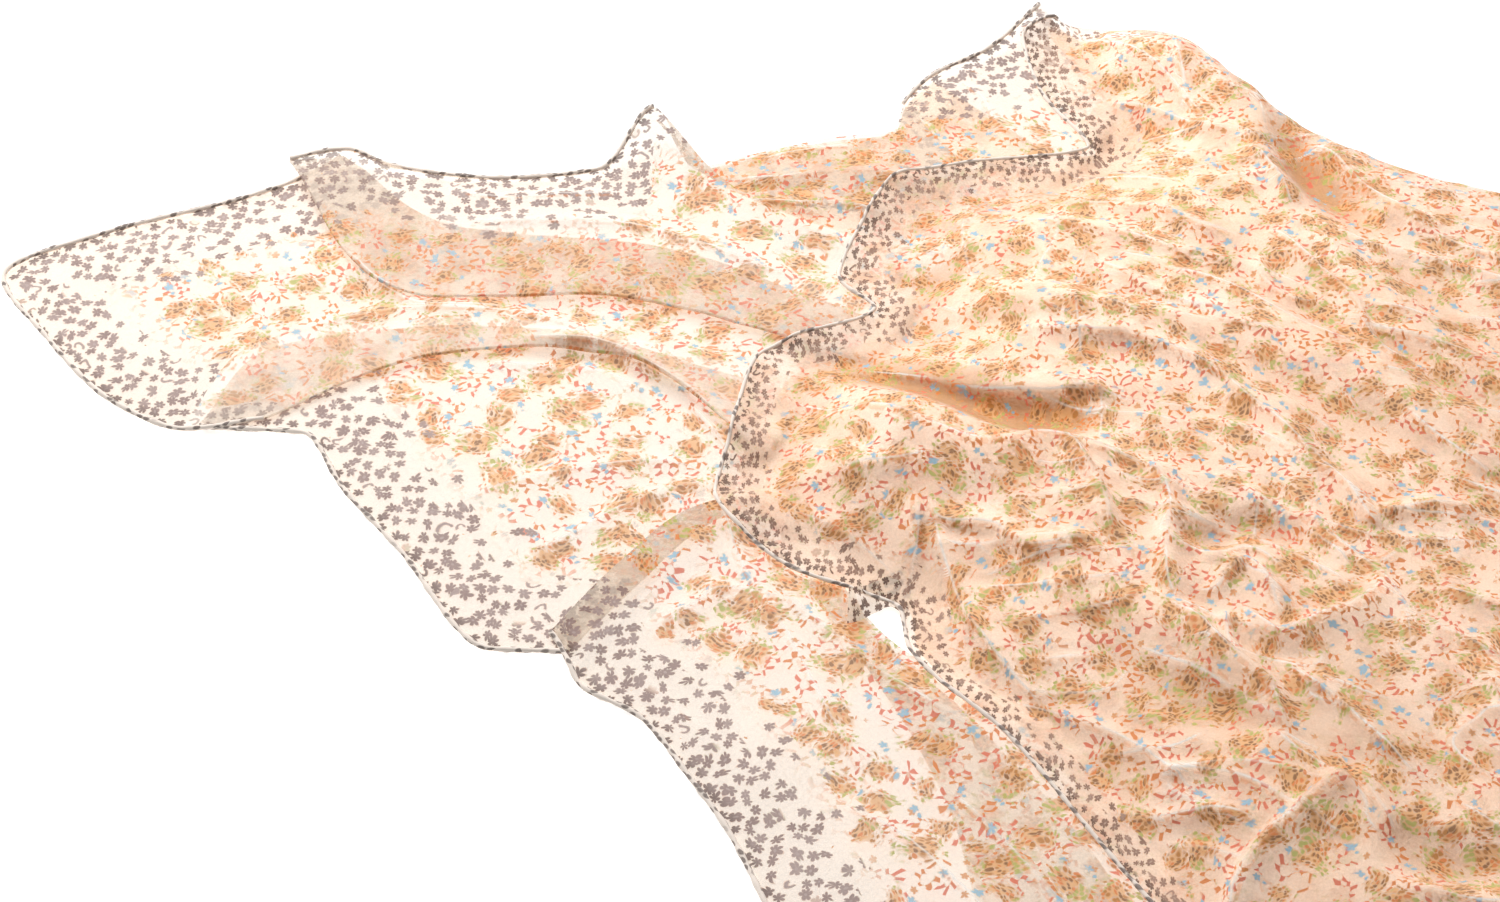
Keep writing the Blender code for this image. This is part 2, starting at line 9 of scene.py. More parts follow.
import bpy
import numpy as np
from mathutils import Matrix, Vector
from mathutils.bvhtree import BVHTree


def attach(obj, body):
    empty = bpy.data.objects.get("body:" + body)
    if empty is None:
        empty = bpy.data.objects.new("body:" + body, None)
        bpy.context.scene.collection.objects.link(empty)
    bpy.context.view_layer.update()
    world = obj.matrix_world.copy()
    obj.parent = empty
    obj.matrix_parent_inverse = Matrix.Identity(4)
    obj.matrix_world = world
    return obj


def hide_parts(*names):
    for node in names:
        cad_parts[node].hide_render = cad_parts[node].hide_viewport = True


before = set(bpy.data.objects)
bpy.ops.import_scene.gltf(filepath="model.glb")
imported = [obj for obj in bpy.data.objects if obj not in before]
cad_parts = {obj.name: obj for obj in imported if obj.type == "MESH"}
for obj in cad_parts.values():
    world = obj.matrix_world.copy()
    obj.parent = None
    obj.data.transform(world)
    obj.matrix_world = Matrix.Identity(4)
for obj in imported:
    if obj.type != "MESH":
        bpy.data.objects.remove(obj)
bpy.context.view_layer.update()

MM = 0.001

# The frame's origin, as a plan position in the tables' millimetres.
PLAN_MIDDLE = (130.28, -21.68)

# --- Tables of the cloth's form ---

# Lower stretch: one row for each line that runs from the hem, or from the outline, to the hidden
# inner edge, listed from the far side to the near side. x0, y0 is at the outline, x1, y1 and
# x2, y2 are a third and two thirds of the way in, and x3, y3 is on the inner edge. "level_in" and
# "level_out" count the plies below the cloth before and after the line: where they differ, the
# cloth turns back on itself there. The lifts are heights above the lying cloth at the outline, a
# third in, and at the inner edge. "hem_beyond" is how far past the outline the hem lies, turned
# under the cloth.
RIB_COLUMNS = (
    "name", "x0", "y0", "x1", "y1", "x2", "y2", "x3", "y3",
    "level_in", "level_out", "lift0", "lift1", "lift3", "hem_beyond",
)
LOWER_RIBS = (
    ("patch_peak", 120, 259, 130, 241, 142, 220, 154, 200, 0, 0, 6, 2, 1, 0),
    ("patch_middle", 97, 231, 110, 214, 124, 196, 140, 179, 0, 0, 4, 3, 2, 0),
    ("patch_bulge", 74, 215, 92, 196, 110, 177, 128, 159, 0, 0, 3, 3, 2, 0),
    ("patch_left", 62, 198, 82, 181, 101, 163, 120, 146, 0, 0, 2, 3, 2, 0),
    ("gather_right", 57, 181, 76, 162, 94, 143, 112, 125, 0, 0, 2, 4, 2, 46),
    ("gather_middle", 32, 175, 52, 150, 74, 128, 96, 109, 0, 0, 3, 6, 2, 60),
    ("gather_left", 4, 167, 28, 144, 57, 121, 88, 101, 0, 0, 2, 5, 2, 60),
    ("notch", -21, 158, 6, 136, 44, 115, 82, 94, 0, 0, 2, 4, 2, 36),
    ("peak", -38, 183, -9, 141, 30, 115, 78, 89, 0, 0, 12, 5, 2, 0),
    ("strip_right", -59, 155, -24, 136, 16, 116, 74, 84, 0, 0, 3, 3, 2, 0),
    ("strip_middle", -98, 152, -54, 134, 0, 118, 71, 80, 0, 0, 1, 2, 1, 0),
    ("strip_left", -136, 156, -88, 135, -14, 121, 66, 75, 0, 0, 3, 2, 1, 0),
    ("band_edge", -181, 158, -136, 84, -45, 79, 48, 40, 2, 1, 4, 0, 0, 0),
    ("band_back", -160, 162, -116, 123, -34, 110, 57, 63, 1, 0, 4, 0, 0, 0),
    ("lobe_far", -196, 141, -142, 106, -52, 102, 51, 57, 0, 0, 0, 0, 0, 0),
    ("tip_far", -251, 118, -165, 98, -62, 97, 46, 52, 0, 0, 0, 1, 0, 0),
    ("tip", -283, 95, -180, 89, -70, 92, 41, 47, 0, 0, 0, 1, 0, 0),
    ("tip_near", -262, 61, -187, 79, -76, 84, 36, 42, 0, 0, 0, 1, 0, 0),
    ("lobe_near", -233, 26, -190, 68, -82, 76, 31, 37, 0, 0, 0, 1, 0, 0),
    ("tuck_far_edge", -176, 15, -116, 48, -44, 44, 6, -8, 2, 1, 0, 0, 0, 0),
    ("tuck_far_back", -200, 13, -172, 55, -78, 63, 22, 26, 1, 0, 0, 0, 0, 0),
    ("fan_far", -161, 9, -97, 38, -38, 34, 7, -12, 0, 0, 0, 0, 0, 0),
    ("fan_middle", -144, -20, -86, 6, -36, 13, 7, -16, 0, 0, 0, 2, 0, 0),
    ("fan_near", -122, -50, -75, -20, -34, -4, 7, -20, 0, 0, 0, 2, 0, 0),
    ("fan_tip", -88, -97, -58, -52, -30, -19, 8, -24, 0, 0, 0, 1, 0, 0),
    ("tuck_near_back", -61, -99, -38, -68, -15, -40, 14, -33, 0, 1, 0, 0, 0, 0),
    ("tuck_near_edge", -68, -90, -46, -60, -22, -33, 10, -28, 1, 2, 0, 0, 0, 0),
    ("flare_corner", -57, -113, -31, -80, -6, -53, 19, -45, 0, 0, 0, 1, 0, 0),
    ("flare_far", -36, -128, -10, -98, 10, -74, 30, -64, 0, 0, 0, 2, 0, 0),
    ("flare_gap", -20, -153, 4, -124, 24, -101, 42, -87, 0, 0, 0, 2, 1, 0),
    ("flare_middle", -6, -178, 20, -152, 44, -130, 64, -111, 0, 0, 0, 3, 1, 0),
    ("flare_near", 6, -208, 38, -184, 70, -162, 102, -142, 0, 0, 0, 3, 1, 0),
    ("flare_low", 23, -252, 60, -230, 95, -212, 130, -194, 0, 0, 0, 3, 1, 0),
    ("near_hem", 45, -300, 88, -300, 130, -297, 170, -291, 0, 0, 0, 1, 1, 0),
)

# The hem where it shows: each run's name, and the sections of the lower stretch that it joins.
HEM_RUN_COLUMNS = ("name", "first", "last", "node")
LOWER_HEM_RUNS = (
    ("patch_hem", "patch_peak", "patch_left", "lower_patch_hem"),
    ("strip_hem", "peak", "band_edge_in", "lower_strip_hem"),
    ("tip_hem", "band_back_out", "tuck_far_edge_in", "lower_tip_hem"),
    ("fan_hem", "tuck_far_back_out", "tuck_near_back_in", "lower_fan_hem"),
    ("flare_hem", "tuck_near_edge_out", "near_hem", "lower_flare_hem"),
)

# Upper stretch: one row for each line that runs from its end hem to the bend on the right.
LINE_COLUMNS = ("name", "x0", "y0", "x1", "y1", "x2", "y2", "x3", "y3", "x4", "y4")
UPPER_LINES = (
    ("far_fold", 127, 252, 172, 236, 226, 166, 340, 114, 516, 88),
    ("peak_neck", 112, 236, 168, 216, 231, 154, 343, 102, 527, 76),
    ("peak_under", 117, 204, 165, 190, 236, 140, 345, 90, 538, 64),
    ("bay_far", 134, 168, 172, 153, 240, 108, 350, 66, 544, 40),
    ("bay_near", 84, 154, 160, 130, 240, 88, 352, 46, 545, 18),
    ("shoulder", 55, 142, 152, 108, 238, 66, 354, 24, 545, -2),
    ("shoulder_low", 46, 125, 149, 92, 236, 55, 355, 14, 545, -14),
    ("notch_far", 34, 90, 145, 74, 234, 42, 356, 2, 545, -25),
    ("notch", 47, 70, 142, 50, 230, 22, 356, -18, 545, -44),
    ("lobe_far", 4, 46, 132, 24, 226, -4, 354, -42, 545, -68),
    ("lobe_left", -7, 0, 125, -10, 222, -34, 352, -70, 545, -95),
    ("lobe_near", -12, -27, 122, -38, 222, -60, 352, -96, 545, -120),
    ("lip_left", 14, -61, 128, -70, 226, -88, 354, -122, 545, -146),
    ("gap_edge", 52, -80, 140, -96, 234, -114, 358, -146, 545, -168),
    ("gap_low", 54, -98, 146, -116, 240, -134, 362, -166, 545, -188),
    ("side_far", 62, -113, 150, -135, 246, -152, 366, -184, 545, -206),
    ("side_middle", 85, -139, 165, -166, 256, -182, 372, -204, 545, -226),
    ("side_near", 111, -182, 188, -198, 272, -212, 380, -228, 543, -248),
    ("frame_edge", 130, -214, 206, -234, 286, -244, 388, -256, 536, -268),
    ("near_hem", 182, -296, 246, -302, 318, -303, 410, -302, 512, -286),
)

# Broad ridges and troughs of the upper stretch. Each follows the curve through its points; a
# trough has a negative height, and its tint is painted shade, how much deeper the cloth's colour is made in
# it. low_side and right_side are broad and shallow, there mostly for that painted shade.
RIDGE_COLUMNS = ("name", "height", "half_width", "shade_tint", "points")
UPPER_RIDGES = (
    ("hem_roll", 7, 15, 0, ((50, 72), (82, 66), (120, 52), (166, 40), (210, 20))),
    ("long_trough", -9, 16, 1.4, ((26, 36), (47, 29), (64, 20), (80, 9), (96, 0), (112, -3), (128, -2))),
    ("far_hump", 5, 26, 0, ((150, 226), (182, 206), (200, 184), (214, 154))),
    ("pocket", -8, 16, 0.9, ((206, 170), (212, 146), (220, 124), (236, 100))),
    ("upper_diagonal", 7, 20, 0, ((132, 82), (168, 54), (200, 32), (232, 6), (262, -20), (300, -48))),
    ("right_diagonal", 7, 18, 0, ((194, 106), (222, 74), (238, 42), (262, 16), (310, -10))),
    ("hollow", -6, 18, 0.15, ((112, -92), (130, -118), (150, -138), (176, -152))),
    ("swirl_pit", -5, 12, 0.2, ((152, -70), (160, -62), (176, -60), (190, -70))),
    ("near_pit", -6, 16, 0.1, ((196, -196), (220, -206), (250, -208))),
    ("right_long", 8, 22, 0, ((280, 74), (340, 44), (400, 10), (470, -6), (525, -12))),
    ("right_low", 8, 24, 0, ((262, -96), (330, -112), (400, -150), (470, -176), (520, -190))),
    ("low_side", -1, 75, 0.38, ((128, -98), (160, -140), (200, -170), (240, -190))),
    ("right_side", -1, 80, 0.26, ((215, 70), (250, 20), (290, -30), (320, -70))),
    ("near_low", 5, 22, 0, ((220, -228), (300, -236), (380, -246), (460, -250))),
)

# Sharp creases of the upper stretch. "left" and "right" are how far each flank reaches, as seen
# along the crease, and "lean" is how far its crest hangs over to the right.
CREASE_COLUMNS = ("name", "height", "left", "right", "lean", "points")
UPPER_CREASES = (
    ("below_trough", 7, 10, 17, -3,
     ((12, 8), (34, 3), (48, -3), (62, -13), (81, -22), (104, -20), (126, -27), (146, -20))),
    ("above_trough", 6, 14, 7, 2.5,
     ((32, 40), (49, 31), (64, 25), (78, 17), (92, 12), (105, 9), (118, 9), (140, 7))),
    ("lobe_line", 3, 8, 8, 0, ((29, -24), (43, -24), (61, -22), (73, -15))),
    ("saddle", 8, 9, 15, -3, ((104, -13), (111, -22), (115, -32), (118, -41), (121, -54), (124, -69))),
    ("shelf", 6, 12, 8, 2.5,
     ((61, -30), (66, -46), (78, -50), (86, -54), (92, -62), (98, -66), (111, -66), (124, -64))),
    ("upright", 6, 6, 9, -2.5, ((58, -34), (57, -46), (56, -60), (54, -82), (51, -98))),
    ("long_left", 7, 12, 8, 2.5,
     ((64, -40), (66, -52), (69, -66), (73, -84), (79, -97), (86, -110), (95, -124), (104, -138))),
    ("upright_right", 6, 12, 7, 2.5,
     ((134, -28), (142, -35), (146, -48), (144, -64), (142, -85), (145, -102))),
    ("low_crest", 8, 9, 12, -2,
     ((133, -90), (147, -105), (154, -117), (162, -126), (168, -134), (171, -145), (176, -160))),
    ("swirl_out", 4, 6, 6, 1.5,
     ((150, -82), (157, -76), (163, -72), (171, -71), (178, -77), (183, -88), (186, -99))),
    ("swirl_in", 5, 5, 5, 1.5,
     ((147, -89), (155, -91), (160, -84), (167, -77), (172, -80), (175, -88), (177, -100), (180, -109))),
    ("swirl_low", 7, 7, 11, -2,
     ((163, -92), (166, -103), (173, -112), (182, -111), (190, -106), (200, -102), (206, -97), (212, -89),
      (214, -71))),
    ("narrow", 5, 5, 5, 1.5, ((160, -98), (159, -113), (162, -126))),
    ("right_slope", 6, 12, 8, 2,
     ((172, -120), (182, -130), (190, -138), (195, -145), (201, -153), (208, -163), (216, -178))),
    ("bottom", 8, 7, 13, -3,
     ((146, -226), (150, -216), (155, -204), (164, -193), (173, -187), (186, -176), (197, -168))),
    ("bottom_right", 5, 8, 6, 1.5, ((193, -166), (199, -182), (204, -196))),
    ("knot", 6, 7, 7, 2, ((196, -24), (206, -40), (213, -56), (217, -62))),
    ("knot_right", 5, 8, 6, 1.5, ((214, -58), (224, -53), (238, -50), (256, -54))),
    ("long_ridge", 7, 16, 9, 2.5,
     ((92, 46), (106, 41), (135, 37), (151, 30), (168, 17), (177, 4), (188, -10), (198, -26), (208, -36))),
    ("upper_ridge", 6, 14, 8, 2,
     ((122, 84), (137, 72), (146, 62), (158, 54), (171, 43), (185, 39), (204, 33))),
    ("deep_line", 8, 9, 18, -2.5,
     ((190, 98), (197, 91), (208, 72), (217, 58), (221, 49), (223, 35), (230, 23), (242, 17), (264, 24))),
    ("side_line", 4, 8, 6, 1.5, ((191, 87), (190, 70), (198, 58), (212, 54))),
    ("pocket_left", 6, 10, 8, 2, ((190, 150), (198, 138), (204, 122), (206, 106))),
    ("pocket_right", 7, 8, 12, -2, ((214, 156), (224, 140), (232, 122), (246, 104), (268, 92))),
    ("tan_line", 5, 8, 6, 2, ((230, 0), (240, -14), (250, -26), (262, -40))),
    ("bay_line", 4, 10, 6, 1.5, ((66, 146), (84, 150), (104, 152), (126, 150), (150, 140), (172, 124))),
    ("bay_fold", 5, 8, 8, 0, ((110, 118), (130, 116), (152, 110), (170, 98), (188, 92))),
    ("upper_wave", 4, 10, 8, 1, ((96, 110), (120, 100), (140, 94), (160, 82), (176, 70))),
    ("peak_line", 4, 9, 7, 1, ((130, 238), (150, 222), (166, 200), (176, 178), (184, 160))),
    ("peak_low", 4, 9, 7, 1, ((140, 196), (158, 186), (174, 170), (192, 156))),
    ("lobe_rise", 3, 8, 7, 1, ((12, -34), (30, -46), (46, -60), (56, -76))),
    ("side_wave", 4, 9, 7, 1, ((78, -120), (96, -128), (118, -142), (136, -160), (148, -180))),
    ("side_low", 4, 10, 8, 1, ((112, -170), (130, -176), (150, -178), (164, -186))),
    ("near_wave", 4, 10, 8, 1, ((196, -214), (222, -222), (256, -224), (290, -230))),
    ("right_wave", 5, 10, 8, 1.5, ((226, -84), (246, -96), (270, -104), (300, -118), (330, -130))),
    ("right_fold", 5, 12, 8, 1.5, ((232, -120), (252, -138), (276, -150), (306, -160), (340, -170))),
)

# Creases of the lower stretch.
LOWER_CREASES = (
    ("band_top", 2.2, 9, 7, 0.5,
     ((-112, 120), (-95, 122), (-74, 123), (-47, 121), (-19, 109), (4, 97), (34, 84))),
    ("band_front", 2.0, 7, 9, 0, ((-158, 110), (-149, 98), (-140, 88), (-123, 76), (-102, 75), (-70, 76))),
    ("lobe_top", 2.0, 9, 8, 0.5,
     ((-176, 57), (-161, 64), (-147, 69), (-131, 73), (-112, 73), (-93, 72), (-82, 70), (-65, 62),
      (-46, 54))),
    ("tuck_roll", 3.5, 12, 7, 1, ((-92, 58), (-72, 55), (-55, 53), (-38, 42), (-22, 28), (-8, 8), (2, -8))),
    ("fan_top", 2.0, 6, 8, 0, ((-96, 46), (-88, 44), (-58, 40), (-45, 34), (-34, 26))),
    ("pinch_line", 2.6, 6, 6, 1, ((-42, 46), (-29, 37), (-20, 24), (-8, 2))),
    ("pinch_right", 2.6, 6, 5, 1, ((-22, 24), (-16, 14), (-8, 0), (-4, -12))),
    ("fan_line", 1.6, 9, 8, 0, ((-110, -32), (-86, -20), (-60, -12), (-34, -8), (-14, -12))),
    ("fan_low", 1.8, 8, 8, 0, ((-84, -62), (-64, -46), (-44, -30), (-24, -20), (-8, -18))),
    ("flare_long", 2.4, 8, 8, 0.5,
     ((-18, -18), (-8, -40), (-3, -58), (6, -78), (14, -95), (27, -131), (42, -166), (57, -199))),
    ("flare_left", 2.0, 9, 8, 0, ((-36, -92), (-20, -80), (-10, -72), (4, -74), (20, -84))),
    ("flare_right", 2.4, 7, 7, 0.5, ((2, -62), (16, -78), (30, -94), (44, -110), (60, -124), (84, -144))),
    ("flare_low", 1.8, 9, 9, 0, ((22, -164), (44, -178), (62, -196), (80, -222), (92, -252))),
    ("flare_tall", 1.6, 8, 8, 0, ((60, -156), (76, -176), (92, -200), (108, -232), (120, -268))),
    ("gather_line", 2.4, 8, 7, 0.5, ((-12, 150), (8, 148), (30, 150), (52, 148), (72, 138))),
    ("gather_low", 2.2, 8, 7, 0.5, ((-6, 134), (16, 132), (40, 130), (60, 122))),
    ("gather_edge", 1.6, 6, 6, 0, ((0, 160), (22, 166), (44, 168))),
    ("patch_line", 2.2, 8, 7, 0.5, ((84, 214), (94, 198), (100, 182), (112, 170))),
    ("strip_line", 1.4, 8, 7, 0, ((-120, 142), (-96, 138), (-70, 140), (-44, 142))),
)

# The heap's full height, and how far it takes to reach it from each of its sides, in millimetres.
HEAP_HEIGHT = 21.0
RISE_FROM_HEM = 70.0
RISE_FROM_FAR = 26.0
RISE_FROM_BEND = 22.0
RISE_FROM_NEAR = 90.0


# --- Curves and grids ---

# The distance from a crest's line counts up to here, in millimetres.
LINE_FAR = 6.0
# Noise is read from a square of this many random values a side, this far from its corner.
NOISE_CELLS = 64
NOISE_SHIFT = 500.0
# How far crinkles wander, the cells of the noise that bends them along x and y, and of the noise
# that makes them come and go.
WANDER = 14.0
WANDER_CELLS = ((70, 50, 0.0), (60, 60, 0.7))
STRENGTH_CELLS = (60, 45, 0.4)
CRINKLE_POWER = 2.4
# Distances to a path are worked out for this many points at a time, to save memory.
POINTS_AT_ONCE = 20000


def rows(columns, table):
    """The rows of a table as dictionaries."""
    return [dict(zip(columns, row)) for row in table]


def ease(value):
    """0 below 0, 1 above 1, and a smooth step between."""
    value = np.clip(value, 0.0, 1.0)
    return value * value * (3.0 - 2.0 * value)


def rising(least, share):
    """A factor that rises from least to 1 as the share goes from 0 to 1."""
    return least + (1 - least) * share


def unit(vectors):
    return vectors / np.maximum(np.linalg.norm(vectors, axis=-1, keepdims=True), 1e-9)


def through(knots, values, at):
    """A smooth curve through values at knots that doesn't overshoot them, read at each of at."""
    knots = np.asarray(knots, float)
    values = np.asarray(values, float)
    flat = values.reshape(len(knots), -1)
    steps = np.diff(knots)[:, None]
    slopes = np.diff(flat, axis=0) / steps
    tangents = np.zeros_like(flat)
    before, after = slopes[:-1], slopes[1:]
    same = before * after > 0
    total = np.where(same, before + after, 1.0)
    tangents[1:-1] = np.where(same, 2 * before * after / total, 0.0)
    tangents[0], tangents[-1] = slopes[0], slopes[-1]
    place = np.clip(np.searchsorted(knots, at, side="right") - 1, 0, len(knots) - 2)
    step = steps[place]
    part = ((np.asarray(at) - knots[place]) / step[:, 0])[:, None]
    found = (
        (1 + 2 * part) * (1 - part) ** 2 * flat[place]
        + part * (1 - part) ** 2 * step * tangents[place]
        + part**2 * (3 - 2 * part) * flat[place + 1]
        + part**2 * (part - 1) * step * tangents[place + 1]
    )
    return found.reshape((len(found),) + values.shape[1:])


def curve(points, count):
    """count points along the smooth plan curve through these points."""
    points = np.asarray(points, float)
    padded = np.vstack([2 * points[0] - points[1], points, 2 * points[-1] - points[-2]])
    at = np.linspace(0, len(points) - 1, count)
    first = np.minimum(at.astype(int), len(points) - 2)
    part = (at - first)[:, None]
    a, b, c, d = (padded[first + i] for i in range(4))
    return 0.5 * (
        2 * b
        + (c - a) * part
        + (2 * a - 5 * b + 4 * c - d) * part**2
        + (3 * b - 3 * c + d - a) * part**3
    )


def walked_along(path):
    """Distance along a path to each of its points."""
    return np.concatenate([[0.0], np.cumsum(np.linalg.norm(np.diff(path, axis=0), axis=1))])


def read_along(line, walked, at):
    """The points of a line at these distances along it."""
    return np.column_stack([np.interp(at, walked, column) for column in line.T])


def line_points(row, count):
    return np.array([(row[f"x{i}"], row[f"y{i}"]) for i in range(count)], float)


def smoothed(field, times=1):
    """Each value of a grid averaged with its neighbours, this many times."""
    for _ in range(times):
        padded = np.pad(field, 1, mode="edge")
        sides = padded[:-2, 1:-1] + padded[2:, 1:-1] + padded[1:-1, :-2] + padded[1:-1, 2:]
        field = 0.5 * field + 0.125 * sides
    return field


def noise(x, y, long, short, turn, seed):
    """Smooth random values from -1 to 1, in cells of long by short millimetres, turned by an angle."""
    u = (x * np.cos(turn) + y * np.sin(turn)) / long + NOISE_SHIFT
    v = (y * np.cos(turn) - x * np.sin(turn)) / short + NOISE_SHIFT
    lattice = np.random.default_rng(seed).uniform(-1, 1, (NOISE_CELLS, NOISE_CELLS))
    i, j = np.floor(u).astype(int), np.floor(v).astype(int)
    s, t = ease(u - i), ease(v - j)
    i0, i1, j0, j1 = (corner % NOISE_CELLS for corner in (i, i + 1, j, j + 1))
    low = lattice[i0, j0] * (1 - s) + lattice[i1, j0] * s
    high = lattice[i0, j1] * (1 - s) + lattice[i1, j1] * s
    return low * (1 - t) + high * t


def waves(x, y, table):
    """Small waves: the heights of noises of several sizes, added up."""
    return sum(height * noise(x, y, *shape) for height, *shape in table)


def crinkles(x, y, long, short, turn, seed):
    """Thin crests from 0 to 1 that wander mostly along one direction, and the distance from their lines."""

    def field(at_x, at_y):
        bend_x = at_x + WANDER * noise(at_x, at_y, *WANDER_CELLS[0], seed + 1)
        bend_y = at_y + WANDER * noise(at_x, at_y, *WANDER_CELLS[1], seed + 2)
        return noise(bend_x, bend_y, long, short, turn, seed)

    value = field(x, y)
    slope = np.hypot(field(x + 1, y) - field(x - 1, y), field(x, y + 1) - field(x, y - 1)) / 2
    aside = value / np.maximum(slope, 0.3 / short)
    sharp = ease((slope * short - 0.35) / 0.5)
    strength = ease(0.35 + 1.1 * noise(x, y, *STRENGTH_CELLS, seed + 3))
    share = np.clip(1.0 - np.abs(aside) / (0.5 * short), 0, 1) ** CRINKLE_POWER
    return share * sharp * strength, np.clip(aside, -LINE_FAR, LINE_FAR)


def with_crinkles(crest, line, *sets):
    """Crest and line fields with sets of crinkles added where these stand out more."""
    for share, aside in sets:
        stronger = share > crest
        crest = np.where(stronger, share, crest)
        line = np.where(stronger, aside, line)
    return crest, line


# --- Creases ---

# How round a crest is, in millimetres, and the power by which its flanks fall.
CREST_RADIUS = 0.5
CREASE_POWER = 2.0
# The share of a crease's length over which it rises at each end.
CREASE_ENDS = 0.22
# How many samples a crease's curve has for each of its points, and a ridge's in all.
SAMPLES_A_POINT = 24
RIDGE_SAMPLES = 60
RIDGE_ENDS_POWER = 0.6


def crease_fields(plan, table):
    """How much the creases raise each plan point, how far they push it sideways, how near a crest it is,
    and its distance from the crest's line, with a sign for the side."""
    shape = plan.shape[:2]
    flat = plan.reshape(-1, 2)
    raised = np.zeros(len(flat))
    crest = np.zeros(len(flat))
    line = np.full(len(flat), LINE_FAR)
    pushed = np.zeros((len(flat), 2))
    for row in rows(CREASE_COLUMNS, table):
        path = curve(row["points"], SAMPLES_A_POINT * len(row["points"]))
        reach = max(row["left"], row["right"])
        low, high = path.min(axis=0) - reach, path.max(axis=0) + reach
        near = np.flatnonzero(((flat > low) & (flat < high)).all(axis=1))
        offset = flat[near][:, None, :] - path[None]
        distance = np.linalg.norm(offset, axis=2)
        nearest = distance.argmin(axis=1)
        picked = np.arange(len(near))
        run = unit(np.gradient(path, axis=0))[nearest]
        away = offset[picked, nearest]
        on_right = run[:, 0] * away[:, 1] - run[:, 1] * away[:, 0] < 0
        width = np.where(on_right, row["right"], row["left"])
        off = np.sqrt(distance[picked, nearest] ** 2 + CREST_RADIUS**2) - CREST_RADIUS
        profile = np.clip(1.0 - off / width, 0, 1) ** CREASE_POWER
        along = nearest / (len(path) - 1)
        taper = ease(along / CREASE_ENDS) * ease((1.0 - along) / CREASE_ENDS)
        lift = row["height"] * profile * taper
        higher = lift > raised[near]
        chosen = near[higher]
        raised[chosen] = lift[higher]
        crest[chosen] = (profile**2 * taper)[higher]
        line[chosen] = (distance[picked, nearest] * np.where(on_right, 1.0, -1.0))[higher]
        square = np.column_stack([run[:, 1], -run[:, 0]])
        pushed[chosen] = (square * (row["lean"] * profile**1.5 * taper)[:, None])[higher]
    line = np.clip(line, -LINE_FAR, LINE_FAR)
    return raised.reshape(shape), pushed.reshape(shape + (2,)), crest.reshape(shape), line.reshape(shape)


def distance_to(plan, path):
    """Distance from each plan point of a grid to a path, and how far along the path its nearest point is."""
    flat = plan.reshape(-1, 2)
    near = np.empty(len(flat))
    nearest = np.empty(len(flat), int)
    for start in range(0, len(flat), POINTS_AT_ONCE):
        part = slice(start, start + POINTS_AT_ONCE)
        distance = np.linalg.norm(flat[part, None, :] - path[None, :, :], axis=2)
        nearest[part] = distance.argmin(axis=1)
        near[part] = distance.min(axis=1)
    return near.reshape(plan.shape[:2]), (nearest / (len(path) - 1)).reshape(plan.shape[:2])


def ridge_fields(plan, table):
    """How much the broad ridges raise each plan point, how much the troughs sink it, and their painted shade
    tint.
    """
    raised = np.zeros(plan.shape[:2])
    sunk = np.zeros(plan.shape[:2])
    shade_tinted = np.zeros(plan.shape[:2])
    for ridge in rows(RIDGE_COLUMNS, table):
        near, along = distance_to(plan, curve(ridge["points"], RIDGE_SAMPLES))
        taper = np.sin(np.pi * np.clip(along, 0.02, 0.98)) ** RIDGE_ENDS_POWER
        lift = ridge["height"] * taper * np.clip(1 - (near / ridge["half_width"]) ** 2, 0, 1) ** 2
        raised = np.maximum(raised, lift)
        sunk = np.minimum(sunk, lift)
        shade_tinted = np.maximum(shade_tinted, ridge["shade_tint"] * lift / ridge["height"])
    return raised, sunk, shade_tinted


# --- Lower stretch ---

LINE_PARTS = np.array((0.0, 1 / 3, 2 / 3, 1.0))
CLOTH_LIFT = 0.7
# How much higher the cloth lies for each ply below it, and the share of that at each part of a line.
PLY_STEP = 1.5
STEP_SHARES = np.array((0.45, 1.0, 1.0, 1.0))
# How far a top ply lies past the fold below it, and how much further out its hem hangs.
OVER_MARGIN = 3.5
OVERHANG = 3.0
TURN_SAMPLES = 4
SIDE_SPACING = 2.6
LINE_SAMPLES = 90
INWARD_SAMPLES = 84
OUTER_SQUEEZE = 1.15


def line_heights(row, level):
    lifts = np.array((row["lift0"], row["lift1"], (row["lift1"] + row["lift3"]) / 2, row["lift3"]))
    return CLOTH_LIFT + lifts + PLY_STEP * level * STEP_SHARES


def over_line(edge, fold_back):
    """The top ply's line just past the hidden fold below it, its hem hanging a little further out."""
    away = fold_back - edge
    past = fold_back + away * OVER_MARGIN / np.linalg.norm(away, axis=1)[:, None]
    outward = past[0] - past[1]
    past[0] += outward * OVERHANG / np.linalg.norm(outward)
    return past


def across_from(here, before):
    """Unit plan vectors square to the line through here, pointing away from the line before it."""
    run = np.gradient(here, axis=0)
    square = unit(np.column_stack([-run[:, 1], run[:, 0]]))
    return square * np.sign((square * (here - before)).sum(axis=1))[:, None]


def lower_sections():
    """Each section across the lower stretch: name, plan points, heights, whether it turns, and hem offset."""
    table = rows(RIB_COLUMNS, LOWER_RIBS)
    sections = []

    def add(row, ending, points, level, turns=False):
        heights = line_heights(row, level)
        sections.append((row["name"] + ending, points, heights, turns, row["hem_beyond"]))

    for i, row in enumerate(table):
        here = line_points(row, 4)
        level_in, level_out = row["level_in"], row["level_out"]
        if level_in == level_out:
            add(row, "", here, level_in)
            continue
        other = line_points(table[i + 1 if level_in == 2 else i - 1], 4)
        back = here - across_from(here, line_points(table[i - 1], 4)) * PLY_STEP / 2
        if level_in == 2:
            add(row, "_over", over_line(here, other), 2)
        add(row, "_in", back, level_in)
        add(row, "", here, (level_in + level_out) / 2, turns=True)
        add(row, "_out", back, level_out)
        if level_out == 2:
            add(row, "_over", over_line(here, other), 2)
    return sections


